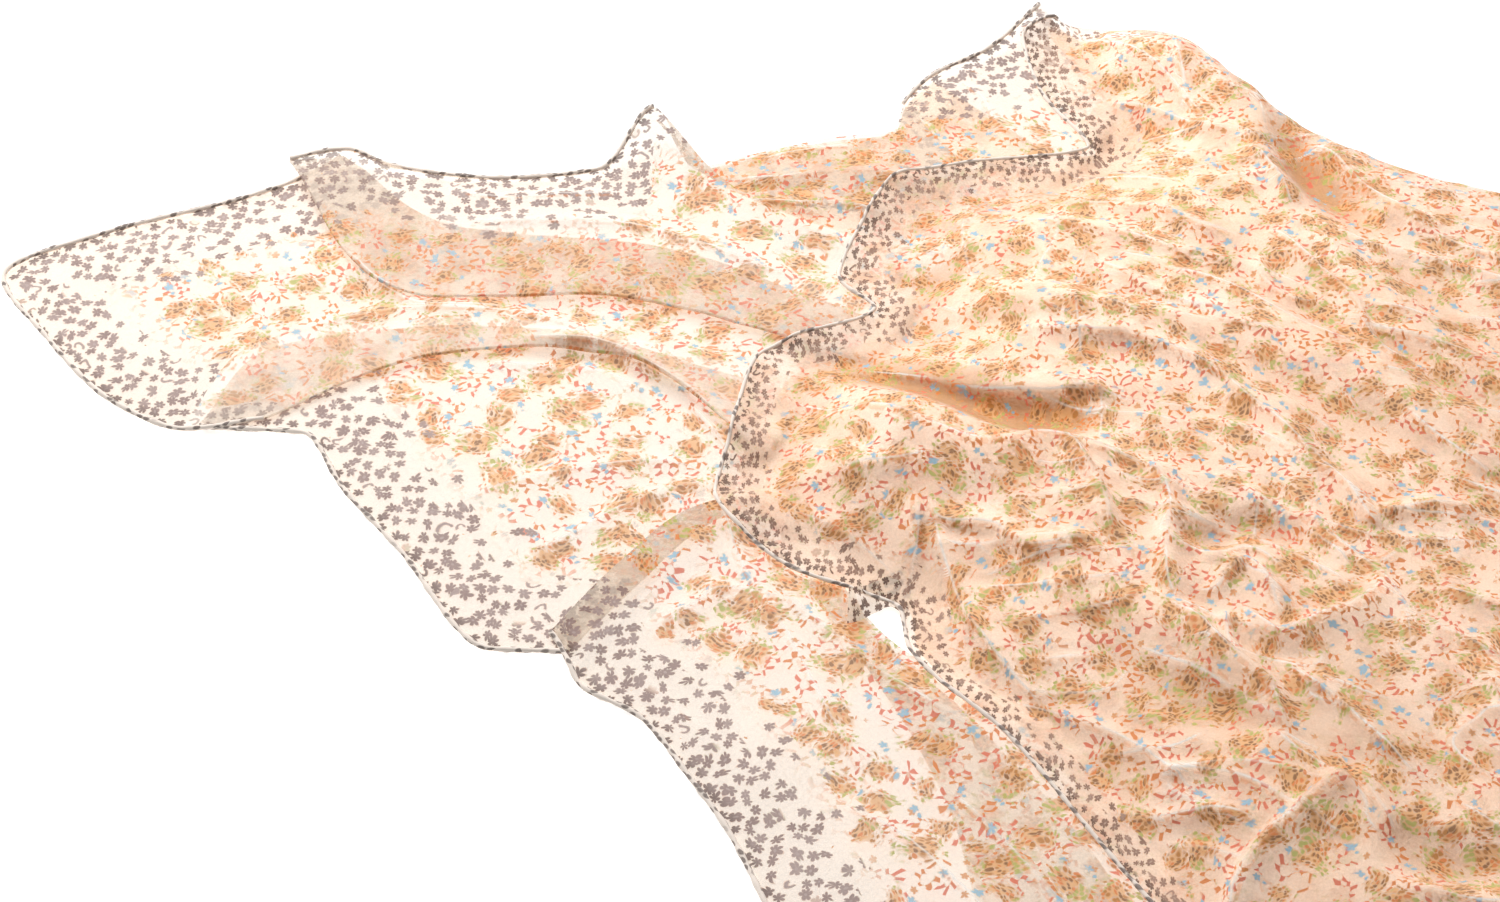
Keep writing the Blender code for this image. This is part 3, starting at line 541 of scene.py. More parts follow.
def section_samples(sections):
    """The places across the stretch to read: more of them where the cloth turns back."""
    points = np.array([section[1] for section in sections])
    heights = np.array([section[2] for section in sections])
    gaps = np.linalg.norm(np.diff(points, axis=0), axis=2)
    rises = np.abs(np.diff(heights, axis=0))
    knots = np.concatenate([[0.0], np.cumsum((gaps + rises).mean(axis=1))])
    samples = []
    for i, gap in enumerate(gaps.max(axis=1)):
        turning = rises[i].max() > PLY_STEP / 4 and gap < PLY_STEP
        count = TURN_SAMPLES if turning else max(1, round(gap / SIDE_SPACING))
        samples.extend(knots[i] + (knots[i + 1] - knots[i]) * np.arange(count) / count)
    return knots, np.append(samples, knots[-1])


def run_in(line, heights):
    """Points from the outline to the inner edge of one line, closer together towards the outline."""
    plan = curve(line, LINE_SAMPLES)
    walked = walked_along(plan)
    at = np.linspace(0, 1, INWARD_SAMPLES) ** OUTER_SQUEEZE * walked[-1]
    return np.column_stack([read_along(plan, walked, at), through(LINE_PARTS * walked[-1], heights, at)])


def lower_grid():
    """The lower stretch as points[across][inwards], where its sections and turns lie, and its hem offsets."""
    sections = lower_sections()
    knots, samples = section_samples(sections)
    lines = through(knots, [section[1] for section in sections], samples)
    heights = through(knots, [section[2] for section in sections], samples)
    places = {section[0]: int(np.argmin(np.abs(samples - knot))) for section, knot in zip(sections, knots)}
    grid = np.array([run_in(*values) for values in zip(lines, heights)])
    turns = [places[section[0]] for section in sections if section[3]]
    hem_beyond = np.interp(samples, knots, [section[4] for section in sections])
    return grid, places, turns, hem_beyond


# Small waves of the lower stretch, and its crinkles: height, length, width, turn and seed of each set.
LOWER_WAVES = ((0.9, 46, 24, 0.9, 11), (0.5, 22, 12, 0.5, 12))
LOWER_WAVE_LIFT = 0.6
LOWER_CRINKLE = (1.8, 70, 16, -0.55, 21)
# The crinkles come in from left to right, from this place on and over this reach. All the small forms
# come in from the hem, over this share of the way to the inner edge.
CRINKLES_FROM = -90
CRINKLES_REACH = 120
CALM_SHARE = 0.12


def creased_lower(grid):
    """The lower stretch with its creases and small waves, and its crest and line fields."""
    plan = grid[:, :, :2]
    x, y = plan[:, :, 0], plan[:, :, 1]
    raised, pushed, crest, line = crease_fields(plan, LOWER_CREASES)
    inwards = np.linspace(0, 1, grid.shape[1])[None, :]
    calm = ease(inwards / CALM_SHARE)
    waved = np.maximum(waves(x, y, LOWER_WAVES) + LOWER_WAVE_LIFT, 0)
    height, *shape = LOWER_CRINKLE
    fine, fine_line = crinkles(x, y, *shape)
    fine = fine * ease((x - CRINKLES_FROM) / CRINKLES_REACH)
    out = grid.copy()
    out[:, :, :2] += pushed * calm[:, :, None]
    out[:, :, 2] += (raised + waved + height * fine) * calm
    return out, *with_crinkles(crest, line, (fine, fine_line))


# --- Upper stretch and the heap below it ---

UPPER_ACROSS = 370
UPPER_ALONG = 262
UPPER_LINE_SAMPLES = 120
SIDE_SAMPLES = 300
BEND_SQUEEZE = 1.35
# The even map of the plan that holds the height of the lower stretch: spacing, lowest corner and size.
MAP_SPACING = 2.5
MAP_LOW = (-30.0, -310.0)
MAP_SIZE = (96, 236)
# How far the upper stretch lies above the lower one at least.
PLY_CLEARANCE = 1.6
UPPER_WAVES = ((0.8, 44, 22, -0.6, 31), (0.4, 20, 11, -0.3, 32))
UPPER_WAVE_LIFT = 0.8
UPPER_CRINKLES = ((1.9, 60, 15, -0.65, 41), (1.1, 34, 10, -0.35, 51), (1.2, 48, 17, -1.5, 81))
# How much of the heights of the tables' ridges and creases, and of the creases' lean, is used.
RIDGE_SHARE = 0.8
CREASE_SHARE = 0.66
LEAN_SHARE = 0.75
# The least shares of the heap's height at its near side, and of the ridges, the waves and the crests
# where there is no heap.
NEAR_LEAST = 0.35
RIDGE_LEAST = 0.25
WAVE_LEAST = 0.3
# Heights of the heap at which its creases, and the painted shade tint of its troughs, are at their full
# strength.
CREASED_FROM = 7.0
SHADE_TINT_FROM = 3.0


def upper_plan(across_count, along_count):
    """Plan points of the upper stretch, as points[across][along], closer together towards its hem."""
    lines = np.array([line_points(row, 5) for row in rows(LINE_COLUMNS, UPPER_LINES)])
    gaps = np.linalg.norm(np.diff(lines, axis=0), axis=2).mean(axis=1)
    knots = np.concatenate([[0.0], np.cumsum(gaps)])
    across = through(knots, lines, np.linspace(0, knots[-1], across_count))
    stations = np.linspace(0, 1, along_count) ** BEND_SQUEEZE
    plan = []
    for line in across:
        fine = curve(line, UPPER_LINE_SAMPLES)
        walked = walked_along(fine)
        plan.append(read_along(fine, walked, stations * walked[-1]))
    return np.array(plan)


def rounded(distance, reach):
    """The rise of a quarter circle, as a share, over this reach from an edge."""
    return np.sqrt(1 - (1 - np.clip(distance / reach, 0, 1)) ** 2)


def heap_height(plan):
    """Height of the heap without its ridges: full inside, and rounded off towards each side."""
    sides = (plan[:, 0], plan[0], plan[:, -1], plan[-1])
    distances = [distance_to(plan, curve(side, SIDE_SAMPLES))[0] for side in sides]
    from_hem, from_far, from_bend, from_near = distances
    full = ease(from_hem / RISE_FROM_HEM) * rising(NEAR_LEAST, ease(from_near / RISE_FROM_NEAR))
    return HEAP_HEIGHT * full * rounded(from_far, RISE_FROM_FAR) * rounded(from_bend, RISE_FROM_BEND)


def grid_faces(across, along):
    """The corners of each square between the points of a grid."""
    return [
        (i * along + j, (i + 1) * along + j, (i + 1) * along + j + 1, i * along + j + 1)
        for i in range(across - 1)
        for j in range(along - 1)
    ]


def surface_tree(surface):
    """A search tree of a grid's surface, for finding what lies below a point."""
    points = [Vector(point) for point in surface.reshape(-1, 3)]
    return BVHTree.FromPolygons(points, grid_faces(*surface.shape[:2]))


def top_map(surface):
    """The highest point of a surface on an even map of the plan, spread a little, and where it covers."""
    tree = surface_tree(surface)
    heights = np.zeros(MAP_SIZE)
    for i, j in np.ndindex(MAP_SIZE):
        at = Vector((MAP_LOW[0] + i * MAP_SPACING, MAP_LOW[1] + j * MAP_SPACING, 500.0))
        hit = tree.ray_cast(at, Vector((0, 0, -1)))[0]
        heights[i, j] = hit.z if hit is not None else 0.0
    padded = np.pad(heights, 1, mode="edge")
    spread = np.maximum.reduce(
        [padded[i : i + MAP_SIZE[0], j : j + MAP_SIZE[1]] for i in range(3) for j in range(3)]
    )
    return smoothed(spread, 2), heights > 0


def read_map(field, plan):
    """Values of an even map of the plan at each plan point, and 0 beyond it."""
    at = (plan - np.array(MAP_LOW)) / MAP_SPACING
    size = np.array(MAP_SIZE) - 1.001
    inside = ((at >= 0) & (at <= size)).all(axis=-1)
    at = np.clip(at, 0, size)
    i, j = at[..., 0].astype(int), at[..., 1].astype(int)
    s, t = at[..., 0] - i, at[..., 1] - j
    low = field[i, j] * (1 - s) + field[i + 1, j] * s
    high = field[i, j + 1] * (1 - s) + field[i + 1, j + 1] * s
    return np.where(inside, low * (1 - t) + high * t, 0.0)


def upper_grid(lower_top):
    """The upper stretch over the lower one, its crest and line fields, and its troughs' painted shade tint.
    """
    plan = upper_plan(UPPER_ACROSS, UPPER_ALONG)
    x, y = plan[:, :, 0], plan[:, :, 1]
    heap = heap_height(plan)
    raised, sunk, shade_tinted = ridge_fields(plan, UPPER_RIDGES)
    sharp, pushed, crest, line = crease_fields(plan, UPPER_CREASES)
    full = ease(heap / CREASED_FROM)
    heaped = CLOTH_LIFT + heap + sunk * heap / HEAP_HEIGHT
    held = read_map(lower_top, plan) + PLY_CLEARANCE
    waved = np.maximum(waves(x, y, UPPER_WAVES) + UPPER_WAVE_LIFT, 0)
    fine = [crinkles(x, y, *shape) for _, *shape in UPPER_CRINKLES]
    fine = [(share * full, aside) for share, aside in fine]
    folds = sum(height * share for (height, *_), (share, _) in zip(UPPER_CRINKLES, fine))
    ridges = np.sqrt((raised * RIDGE_SHARE) ** 2 + (sharp * CREASE_SHARE) ** 2) * rising(RIDGE_LEAST, full)
    surface = np.maximum(heaped, held) + ridges + (waved + folds) * rising(WAVE_LEAST, full)
    spread = plan + LEAN_SHARE * pushed * full[:, :, None]
    crest, line = with_crinkles(crest * rising(WAVE_LEAST, full), line, *fine)
    return np.dstack([spread, surface]), crest, line, shade_tinted * ease(heap / SHADE_TINT_FROM)


# --- The plies inside the heap ---

# How far a ply ends inside the upper stretch's sides, how far it reaches over the lower stretch's edge,
# and how far it stays above that stretch there.
INNER_INSET = 3.0
INNER_OVERLAP = 9.0
OVERLAP_CLEARANCE = 0.8
INNER_SPACING = 1.5
INNER_WAVE = (50, 20, -0.5)
# The height from which a ply's waves are at their full strength.
WAVED_FROM = 8.0
INNER_COLUMNS = ("name", "across", "along", "drop", "least_share", "smoothing", "wave", "seed", "print_shift")
INNER_PLIES = (
    ("inner_ply_high", 240, 190, 1.5, 0.70, 1, 0.0, 61, 310.0),
    ("inner_ply_low", 130, 110, 5.5, 0.35, 10, 1.2, 71, 640.0),
)


def inner_grid(surface, lower_top, covered, ply):
    """A ply inside the heap, below the upper stretch and from just over the lower stretch's edge."""
    plan = surface[:, :, :2]
    from_far = distance_to(plan, plan[0])[0].min(axis=1)
    from_near = distance_to(plan, plan[-1])[0].min(axis=1)
    inside = np.flatnonzero((from_far > INNER_INSET) & (from_near > INNER_INSET))
    picked = np.unique(np.linspace(inside[0], inside[-1], ply["across"]).round().astype(int))
    lowered = surface[:, :, 2] - ply["drop"]
    lowered = np.minimum(lowered, smoothed(lowered, ply["smoothing"]))
    lowered = np.maximum(lowered, ply["least_share"] * surface[:, :, 2])
    grid = []
    for line in np.dstack([plan, lowered])[picked]:
        walked = walked_along(line[:, :2])
        at = np.arange(0.0, walked[-1], INNER_SPACING)
        fine = read_along(line[:, :2], walked, at)
        under = read_map(covered.astype(float), fine) > 0.5
        start = max(max(at[under], default=0.0) - INNER_OVERLAP, INNER_INSET)
        stations = np.linspace(start, walked[-1] - INNER_INSET, ply["along"])
        grid.append(read_along(line, walked, stations))
    grid = np.array(grid)
    x, y = grid[:, :, 0], grid[:, :, 1]
    waved = noise(x, y, *INNER_WAVE, ply["seed"]) - 1.0
    grid[:, :, 2] += ply["wave"] * waved * ease(grid[:, :, 2] / WAVED_FROM)
    below = read_map(lower_top, grid[:, :, :2])
    grid[:, :, 2] = np.maximum(grid[:, :, 2], np.where(below > 0.5, below + OVERLAP_CLEARANCE, 0.0))
    return grid


# --- Flat print coordinates ---

# The flat cloth is relaxed at every second row and column, this many times, and this much past each step.
RELAX_STRIDE = 2
RELAX_TIMES = 500
RELAX_PUSH = 1.7
LINKS = ((1, 0), (0, 1), (1, 1), (1, -1))


def shifted_pair(field, di, dj):
    """Two views of a grid, the second one step further along (di, dj)."""
    rows_count, columns_count = field.shape[:2]
    if dj >= 0:
        return field[: rows_count - di, : columns_count - dj], field[di:, dj:]
    return field[: rows_count - di, -dj:], field[di:, : columns_count + dj]


def relaxed(flat, grid):
    """Flat positions moved until the steps between neighbours are as long as they are on the cloth."""
    flat = flat.copy()
    rests = [np.linalg.norm(np.subtract(*shifted_pair(grid, *link)), axis=2) for link in LINKS]
    for _ in range(RELAX_TIMES):
        moved = np.zeros_like(flat)
        count = np.zeros(flat.shape[:2] + (1,))
        for link, rest in zip(LINKS, rests):
            here, there = shifted_pair(flat, *link)
            gap = there - here
            length = np.maximum(np.linalg.norm(gap, axis=2), 1e-6)
            pull = gap * (0.5 * (1 - rest / length))[:, :, None]
            moved_here, moved_there = shifted_pair(moved, *link)
            count_here, count_there = shifted_pair(count, *link)
            moved_here += pull
            moved_there -= pull
            count_here += 1
            count_there += 1
        flat += RELAX_PUSH * moved / count
    return flat


def spread_out(coarse, picked_rows, picked_columns, shape):
    """Values at picked rows and columns of a grid, read at all of them."""
    rows_all, columns_all = np.arange(shape[0]), np.arange(shape[1])
    wide = np.stack([np.interp(columns_all, picked_columns, line) for line in coarse])
    return np.stack([np.interp(rows_all, picked_rows, wide[:, j]) for j in columns_all], axis=1)


def flattened(grid, start):
    """Print coordinates in millimetres for a grid of cloth, near the start positions."""
    picked_rows = np.unique(np.append(np.arange(0, grid.shape[0], RELAX_STRIDE), grid.shape[0] - 1))
    picked_columns = np.unique(np.append(np.arange(0, grid.shape[1], RELAX_STRIDE), grid.shape[1] - 1))
    index = np.ix_(picked_rows, picked_columns)
    shift = relaxed(start[index], grid[index]) - start[index]
    moved = [spread_out(shift[:, :, k], picked_rows, picked_columns, grid.shape[:2]) for k in range(2)]
    return start + np.dstack(moved)


def mirrored(points, first, second):
    """Plan points mirrored in the line through two others."""
    along = unit(second - first)
    offset = points - first
    return first + 2 * (offset @ along)[..., None] * along - offset


def unfolded(grid, turns):
    """Flat positions of a stretch that turns back: what lies past each turn is mirrored in its fold."""
    flat = grid[:, :, :2].copy()
    third = grid.shape[1] // 3
    for turn in turns:
        first, second = flat[turn, third].copy(), flat[turn, 2 * third].copy()
        flat[turn + 1 :] = mirrored(flat[turn + 1 :], first, second)
    return flat


# --- Meshes ---

COLLECTION = bpy.context.scene.collection
CLOTH_MAP = "cloth"
EDGE_MAP = "edge"
LINE_MAP = "line"
VEIL_MAP = "veil_and_painted_light"
# A trough is measured from the height smoothed this often, and is full at this depth in millimetres.
HOLLOW_SMOOTHING = 160
HOLLOW_DEPTH = 3.5
# How much of a trough's depth is painted shade, deepening the cloth's colour and thickening its cover there.
HOLLOW_SHADE_SHARE = 0.3
# The distance to the hem, in millimetres, of a ply that no hem comes near.
FAR_FROM_HEM = 100.0


def add_map(mesh, name, values):
    """A UV map from one pair of values for each vertex."""
    corners = np.empty(len(mesh.loops), np.int32)
    mesh.loops.foreach_get("vertex_index", corners)
    layer = mesh.uv_layers.new(name=name)
    layer.uv.foreach_set("vector", values[corners].astype(np.float32).ravel())


def to_frame(points):
    """Table millimetres as metres in the frame."""
    return (points - np.array((*PLAN_MIDDLE, 0.0))) * MM


def add_mesh(name, points, faces, material):
    mesh = bpy.data.meshes.new(name)
    mesh.from_pydata([tuple(point) for point in points], [], faces)
    mesh.shade_smooth()
    mesh.materials.append(material)
    piece = bpy.data.objects.new(name, mesh)
    COLLECTION.objects.link(piece)
    return piece


def hollows(grid):
    """How far each point of a grid lies in a trough, from 0 to 1."""
    height = grid[:, :, 2]
    return np.clip((smoothed(height, HOLLOW_SMOOTHING) - height) / HOLLOW_DEPTH, 0, 1)


def add_cloth(
    name, grid, flat, material, hem_distance=FAR_FROM_HEM, crest=0.0, line=LINE_FAR, veil_and_painted_light=0.0, hollow=None
):
    """A thin sheet of cloth from its grid, with its print coordinates in metres."""
    # Painted shade: how deep in a trough each point lies, carried in the line map's second value, darkens the
    # cloth's colour there.
    hollow = HOLLOW_SHADE_SHARE * hollows(grid) if hollow is None else hollow
    piece = add_mesh(name, to_frame(grid).reshape(-1, 3), grid_faces(*grid.shape[:2]), material)
    add_map(piece.data, CLOTH_MAP, flat.reshape(-1, 2) * MM)
    # The edge map's second value, how near a crest each point is, drives a painted highlight in the shading.
    fields = ((EDGE_MAP, hem_distance * MM, crest), (LINE_MAP, line * MM, hollow), (VEIL_MAP, veil_and_painted_light, 0.0))
    for map_name, first, second in fields:
        pairs = np.empty((*grid.shape[:2], 2))
        pairs[:, :, 0] = first
        pairs[:, :, 1] = second
        add_map(piece.data, map_name, pairs.reshape(-1, 2))
    return piece


HEM_RADIUS = 0.95
UPPER_HEM_RADIUS = 0.75
HEM_SIDES = 8
HEM_SPACING = 1.4
# How far out from the edge, and how high at least, the middle of a hem lies, in radii.
HEM_OUTWARD = 0.6
HEM_CLEAR = 1.25
# A hem's uneven width: the share, the length in millimetres and the start of each wave.
HEM_SWELLS = ((0.12, 2.3, 0.0), (0.08, 1.1, 1.0))


def add_hem(name, edge, inner, material, radius=HEM_RADIUS):
    """A rolled hem along an edge of the cloth. inner is the row beside the edge."""
    walked = walked_along(edge)
    at = np.linspace(0, walked[-1], max(8, round(walked[-1] / HEM_SPACING)))
    edge, inner = read_along(edge, walked, at), read_along(inner, walked, at)
    run = unit(np.gradient(edge, axis=0))
    outward = edge - inner
    outward = unit(outward - run * (outward * run).sum(axis=1)[:, None])
    centre = edge + outward * radius * HEM_OUTWARD
    centre[:, 2] = np.maximum(centre[:, 2], HEM_CLEAR * radius)
    lift = unit(np.cross(run, outward))
    turns = 2 * np.pi * np.arange(HEM_SIDES + 1) / HEM_SIDES
    swell = sum((share * np.sin(at / length + start) for share, length, start in HEM_SWELLS), 1)
    rings = [
        centre + (radius * swell)[:, None] * (np.cos(turn) * outward + np.sin(turn) * lift)
        for turn in turns
    ]
    points = np.stack(rings, axis=1)
    count, sides = len(centre), HEM_SIDES + 1
    faces = [(a, d, c, b) for a, b, c, d in grid_faces(count, sides)]
    faces.append(tuple(range(HEM_SIDES))[::-1])
    faces.append(tuple((count - 1) * sides + k for k in range(HEM_SIDES)))
    piece = add_mesh(name, to_frame(points).reshape(-1, 3), faces, material)
    around = np.tile(np.arange(sides) / HEM_SIDES, count)
    add_map(piece.data, CLOTH_MAP, np.column_stack([np.repeat(at, sides) * MM, around]))
    return piece


# --- Shading ---


class Shading:
    """A material's node tree, with short calls for the nodes that the print needs."""

    def __init__(self, name):
        self.material = bpy.data.materials.new(name)
        self.material.use_nodes = True
        self.tree = self.material.node_tree
        self.shader = self.tree.nodes["Principled BSDF"]

    def put(self, socket, value):
        if isinstance(value, bpy.types.NodeSocket):
            self.tree.links.new(value, socket)
        else:
            socket.default_value = value

    def node(self, kind, values=None, **settings):
        node = self.tree.nodes.new("ShaderNode" + kind)
        for name, setting in settings.items():
            setattr(node, name, setting)
        for name, value in (values or {}).items():
            self.put(node.inputs[name], value)
        return node

    def math(self, operation, *values, clamp=False):
        node = self.node("Math", operation=operation, use_clamp=clamp)
        for socket, value in zip(node.inputs, values):
            self.put(socket, value)
        return node.outputs[0]

    def vector(self, operation, *values):
        node = self.node("VectorMath", operation=operation)
        for socket, value in zip(node.inputs, values):
            self.put(socket, value)
        return node.outputs["Value" if operation in ("LENGTH", "DISTANCE") else "Vector"]

    def product(self, *values):
        found = values[0]
        for value in values[1:]:
            found = self.math("MULTIPLY", found, value)
        return found

    def linear(self, value, slope, start, clamp=False):
        return self.math("MULTIPLY_ADD", value, slope, start, clamp=clamp)

    def under(self, value, limit, soft):
        """1 where the value is under the limit and 0 where it is over, with an edge this soft."""
        return self.linear(self.math("SUBTRACT", limit, value), 1 / soft, 0.5, clamp=True)

    def over(self, value, limit, soft):
        """1 where the value is over the limit and 0 where it is under, with an edge this soft."""
        return self.linear(self.math("SUBTRACT", value, limit), 1 / soft, 0.5, clamp=True)

    def mix(self, share, first, second):
        node = self.tree.nodes.new("ShaderNodeMix")
        node.data_type = "RGBA"
        for index, value in ((0, share), (6, first), (7, second)):
            value = (*value, 1.0) if isinstance(value, tuple) else value
            self.put(node.inputs[index], value)
        return node.outputs[2]

    def scaled(self, value, scale):
        found = self.vector("SCALE", value)
        found.node.inputs["Scale"].default_value = scale
        return found

    def spots(self, place, scale=1.0, randomness=1.0):
        """Scattered spots: their node's outputs, and three random shares for each spot."""
        values = {"Vector": place, "Scale": scale, "Randomness": randomness}
        found = self.node("TexVoronoi", values, voronoi_dimensions="2D", feature="F1").outputs
        return found, self.node("SeparateColor", {"Color": found["Color"]}).outputs

    def cells(self, place, spacing, randomness):
        """Spots this far apart: the offset from the nearest, and three random shares of its own."""
        found, shares = self.spots(place, 1 / spacing, randomness)
        offset = self.vector("SUBTRACT", place, found["Position"])
        return offset, shares[0], shares[1], shares[2]

    def polar(self, offset, turn):
        """Distance and angle of an offset, the angle turned by a share of a full turn."""
        parts = self.node("SeparateXYZ", {"Vector": offset})
        angle = self.math("ARCTAN2", parts.outputs[1], parts.outputs[0])
        return self.vector("LENGTH", offset), self.linear(turn, 2 * np.pi, angle)

    def petals(self, angle, count, radius):
        """The radius of a flower with this many round petals."""
        swing = self.math("ABSOLUTE", self.math("COSINE", self.product(angle, count / 2)))
        return self.linear(self.math("SQRT", swing), radius * 0.62, radius * 0.38)

    def dashes(self, distance, angle, count, width, first, last):
        """Short strokes of this half width that point outwards, from the first distance to the last."""
        swing = self.math("ABSOLUTE", self.math("SINE", self.product(angle, count / 2)))
        aside = self.product(swing, distance)
        inner = self.over(distance, first, 0.4)
        outer = self.under(distance, last, 0.5)
        return self.product(self.under(aside, width, 0.4), inner, outer)

    def noise(self, place, scale, detail):
        """The outputs of a flat noise in cells of 1 / scale millimetres."""
        settings = {"Vector": place, "Scale": scale, "Detail": detail}
        return self.node("TexNoise", settings, noise_dimensions="2D").outputs

    def map_parts(self, name):
        """The two values of a UV map."""
        return self.node("SeparateXYZ", {"Vector": self.node("UVMap", uv_map=name).outputs[0]}).outputs

    def surface(self, **values):
        """Values and colours of the surface, each under its socket's name with _ for a space."""
        for name, value in values.items():
            self.put(self.shader.inputs[name.replace("_", " ")], value)

    def bump(self, relief, strength, depth):
        bump = self.node("Bump", {"Height": relief, "Strength": strength, "Distance": depth})
        self.put(self.shader.inputs["Normal"], bump.outputs[0])

    def cast(self, shadow):
        """Lets light through to what lies below, in this colour."""
        let_through = self.node("BsdfTransparent")
        let_through.inputs["Color"].default_value = (*shadow, 1.0)
        shown = self.node("MixShader", {"Fac": self.node("LightPath").outputs["Is Shadow Ray"]})
        self.tree.links.new(self.shader.outputs[0], shown.inputs[1])
        self.tree.links.new(let_through.outputs[0], shown.inputs[2])
        self.tree.links.new(shown.outputs[0], self.tree.nodes["Material Output"].inputs["Surface"])


# Colours of the cloth and the print, linear.
# The three weaves are lit and shaded copies of one chiffon: the lower stretch's is darkened as painted shade,
# mostly for its dimmer near side, and the upper stretch's and the inner plies' are lightened as painted light
# on the heap, though their deeper, warmer tone is that of stacked plies.
WEAVE_SHADED = (0.75, 0.63, 0.51)
WEAVE_UPPER_LIT = (0.905, 0.715, 0.575)
# A pale weave, used for random paler patches, for the painted highlight on crests and for the hem's fuzz.
WEAVE_PALE_AND_HIGHLIGHT = (0.98, 0.93, 0.86)
# The deep tan painted into troughs as shade.
WEAVE_HOLLOW_SHADE = (0.56, 0.29, 0.12)
# The paler weave of veiled cloth, mostly painted light that offsets the shade between stacked plies.
WEAVE_VEILED_LIT = (0.99, 0.90, 0.80)
INNER_WEAVE_LIT = (0.95, 0.78, 0.62)
TAN = (0.86, 0.45, 0.18)
OCHRE = (0.52, 0.20, 0.03)
BROWN = (0.27, 0.11, 0.025)
ORANGE = (0.78, 0.23, 0.05)
CORAL = (0.81, 0.18, 0.10)
OLIVE = (0.49, 0.49, 0.12)
SKY = (0.30, 0.54, 0.69)
APRICOT = (0.76, 0.33, 0.13)
TAUPE = ((0.25, 0.15, 0.135), (0.43, 0.32, 0.30))
TAUPE_BROWN = ((0.22, 0.11, 0.075), (0.48, 0.31, 0.24))
FLAP_BROWN = ((0.10, 0.045, 0.03), (0.26, 0.14, 0.10))

HEM_PINK = (0.96, 0.83, 0.73)
HEM_SHADOW = (0.82, 0.80, 0.78)
HEM_DARK = (0.09, 0.04, 0.03)

BOUQUET_SPACING = 17.6
BOUQUET_HALF_LENGTH = 8.4
BOUQUET_HALF_WIDTH = 5.8
# The size of the smallest bunch, and how much larger the largest is.
BOUQUET_LEAST = 0.68
BOUQUET_RANGE = 0.55
STROKE_LENGTH = 2.0
STROKE_WIDTH = 1.4
SPRIG_SPACING = 7.1
# A sprig's prongs: how many go round, their half width, and where they start and end.
SPRIG_PRONGS = (6, 1.9, 1.75, 4.7)
BUD_RADIUS = 1.5
BLUE_SPACING = 13.0
BLUE_RADIUS = 1.9
BLUE_BUD_AT = (2.2, -2.4, 0.0)
BLUE_BUD_RADIUS = 1.0
BORDER_SPACING = 5.3
BORDER_FLOWER_RADIUS = 2.35
# The commas of the border are parts of rings between these radii.
COMMA_FROM = 1.1
COMMA_TO = 2.2
# How far the print's sprigs and blue flowers are shifted against its bunches.
SPRIG_SHIFT = (137.0, 91.0, 0.0)
BLUE_SHIFT = (51.0, 203.0, 0.0)
# The border ends at the first distance from the hem, and the bunches and sprigs come in from the
# second on, over this reach.
BORDER_ENDS = 52.0
INLAND_FROM = 27.0
INLAND_REACH = 14.0
# The share of the border's flowers that is left out, by the distance from the hem as a share of the reach.
BORDER_REACH = 60.0
BORDER_THINS = ((0.0, 0.0), (0.25, 0.06), (0.42, 0.35), (0.58, 0.80), (0.75, 1.0))
# Where in a bunch, as shares of its size: how much its strokes are shuffled, where it ends and its fringe
# starts, where the other motifs may lie, and where its leaves start.
STROKE_SHUFFLE = 0.75
BUNCH_END = 1.30
FRINGE_FROM = 0.95
FREE_FROM = 1.05
LEAVES_FROM = 0.48
# The shares of the small motifs that are buds, coral, left out, and whole flowers in the border.
BUD_SHARE = 0.2
CORAL_UP_TO = 0.62
SPRIGS_LEFT_OUT = 0.10
BLUE_LEFT_OUT = 0.25
BORDER_FLOWER_SHARE = 0.93
# A bunch's strokes, from its middle outwards.
STROKE_COLOURS = ((0.0, BROWN), (0.30, OCHRE), (0.46, ORANGE), (0.58, TAN), (0.66, OCHRE), (0.80, ORANGE))
# How large each border looks along and across, its two tones, and where it darkens towards the hem.
BORDER_OPEN = ((1.0, 1.0), TAUPE, 3.5)
BORDER_CROWDED = ((0.90, 1.50), FLAP_BROWN, 3.5)
BORDER_SQUEEZED = ((0.60, 0.92), TAUPE_BROWN, 10.0)


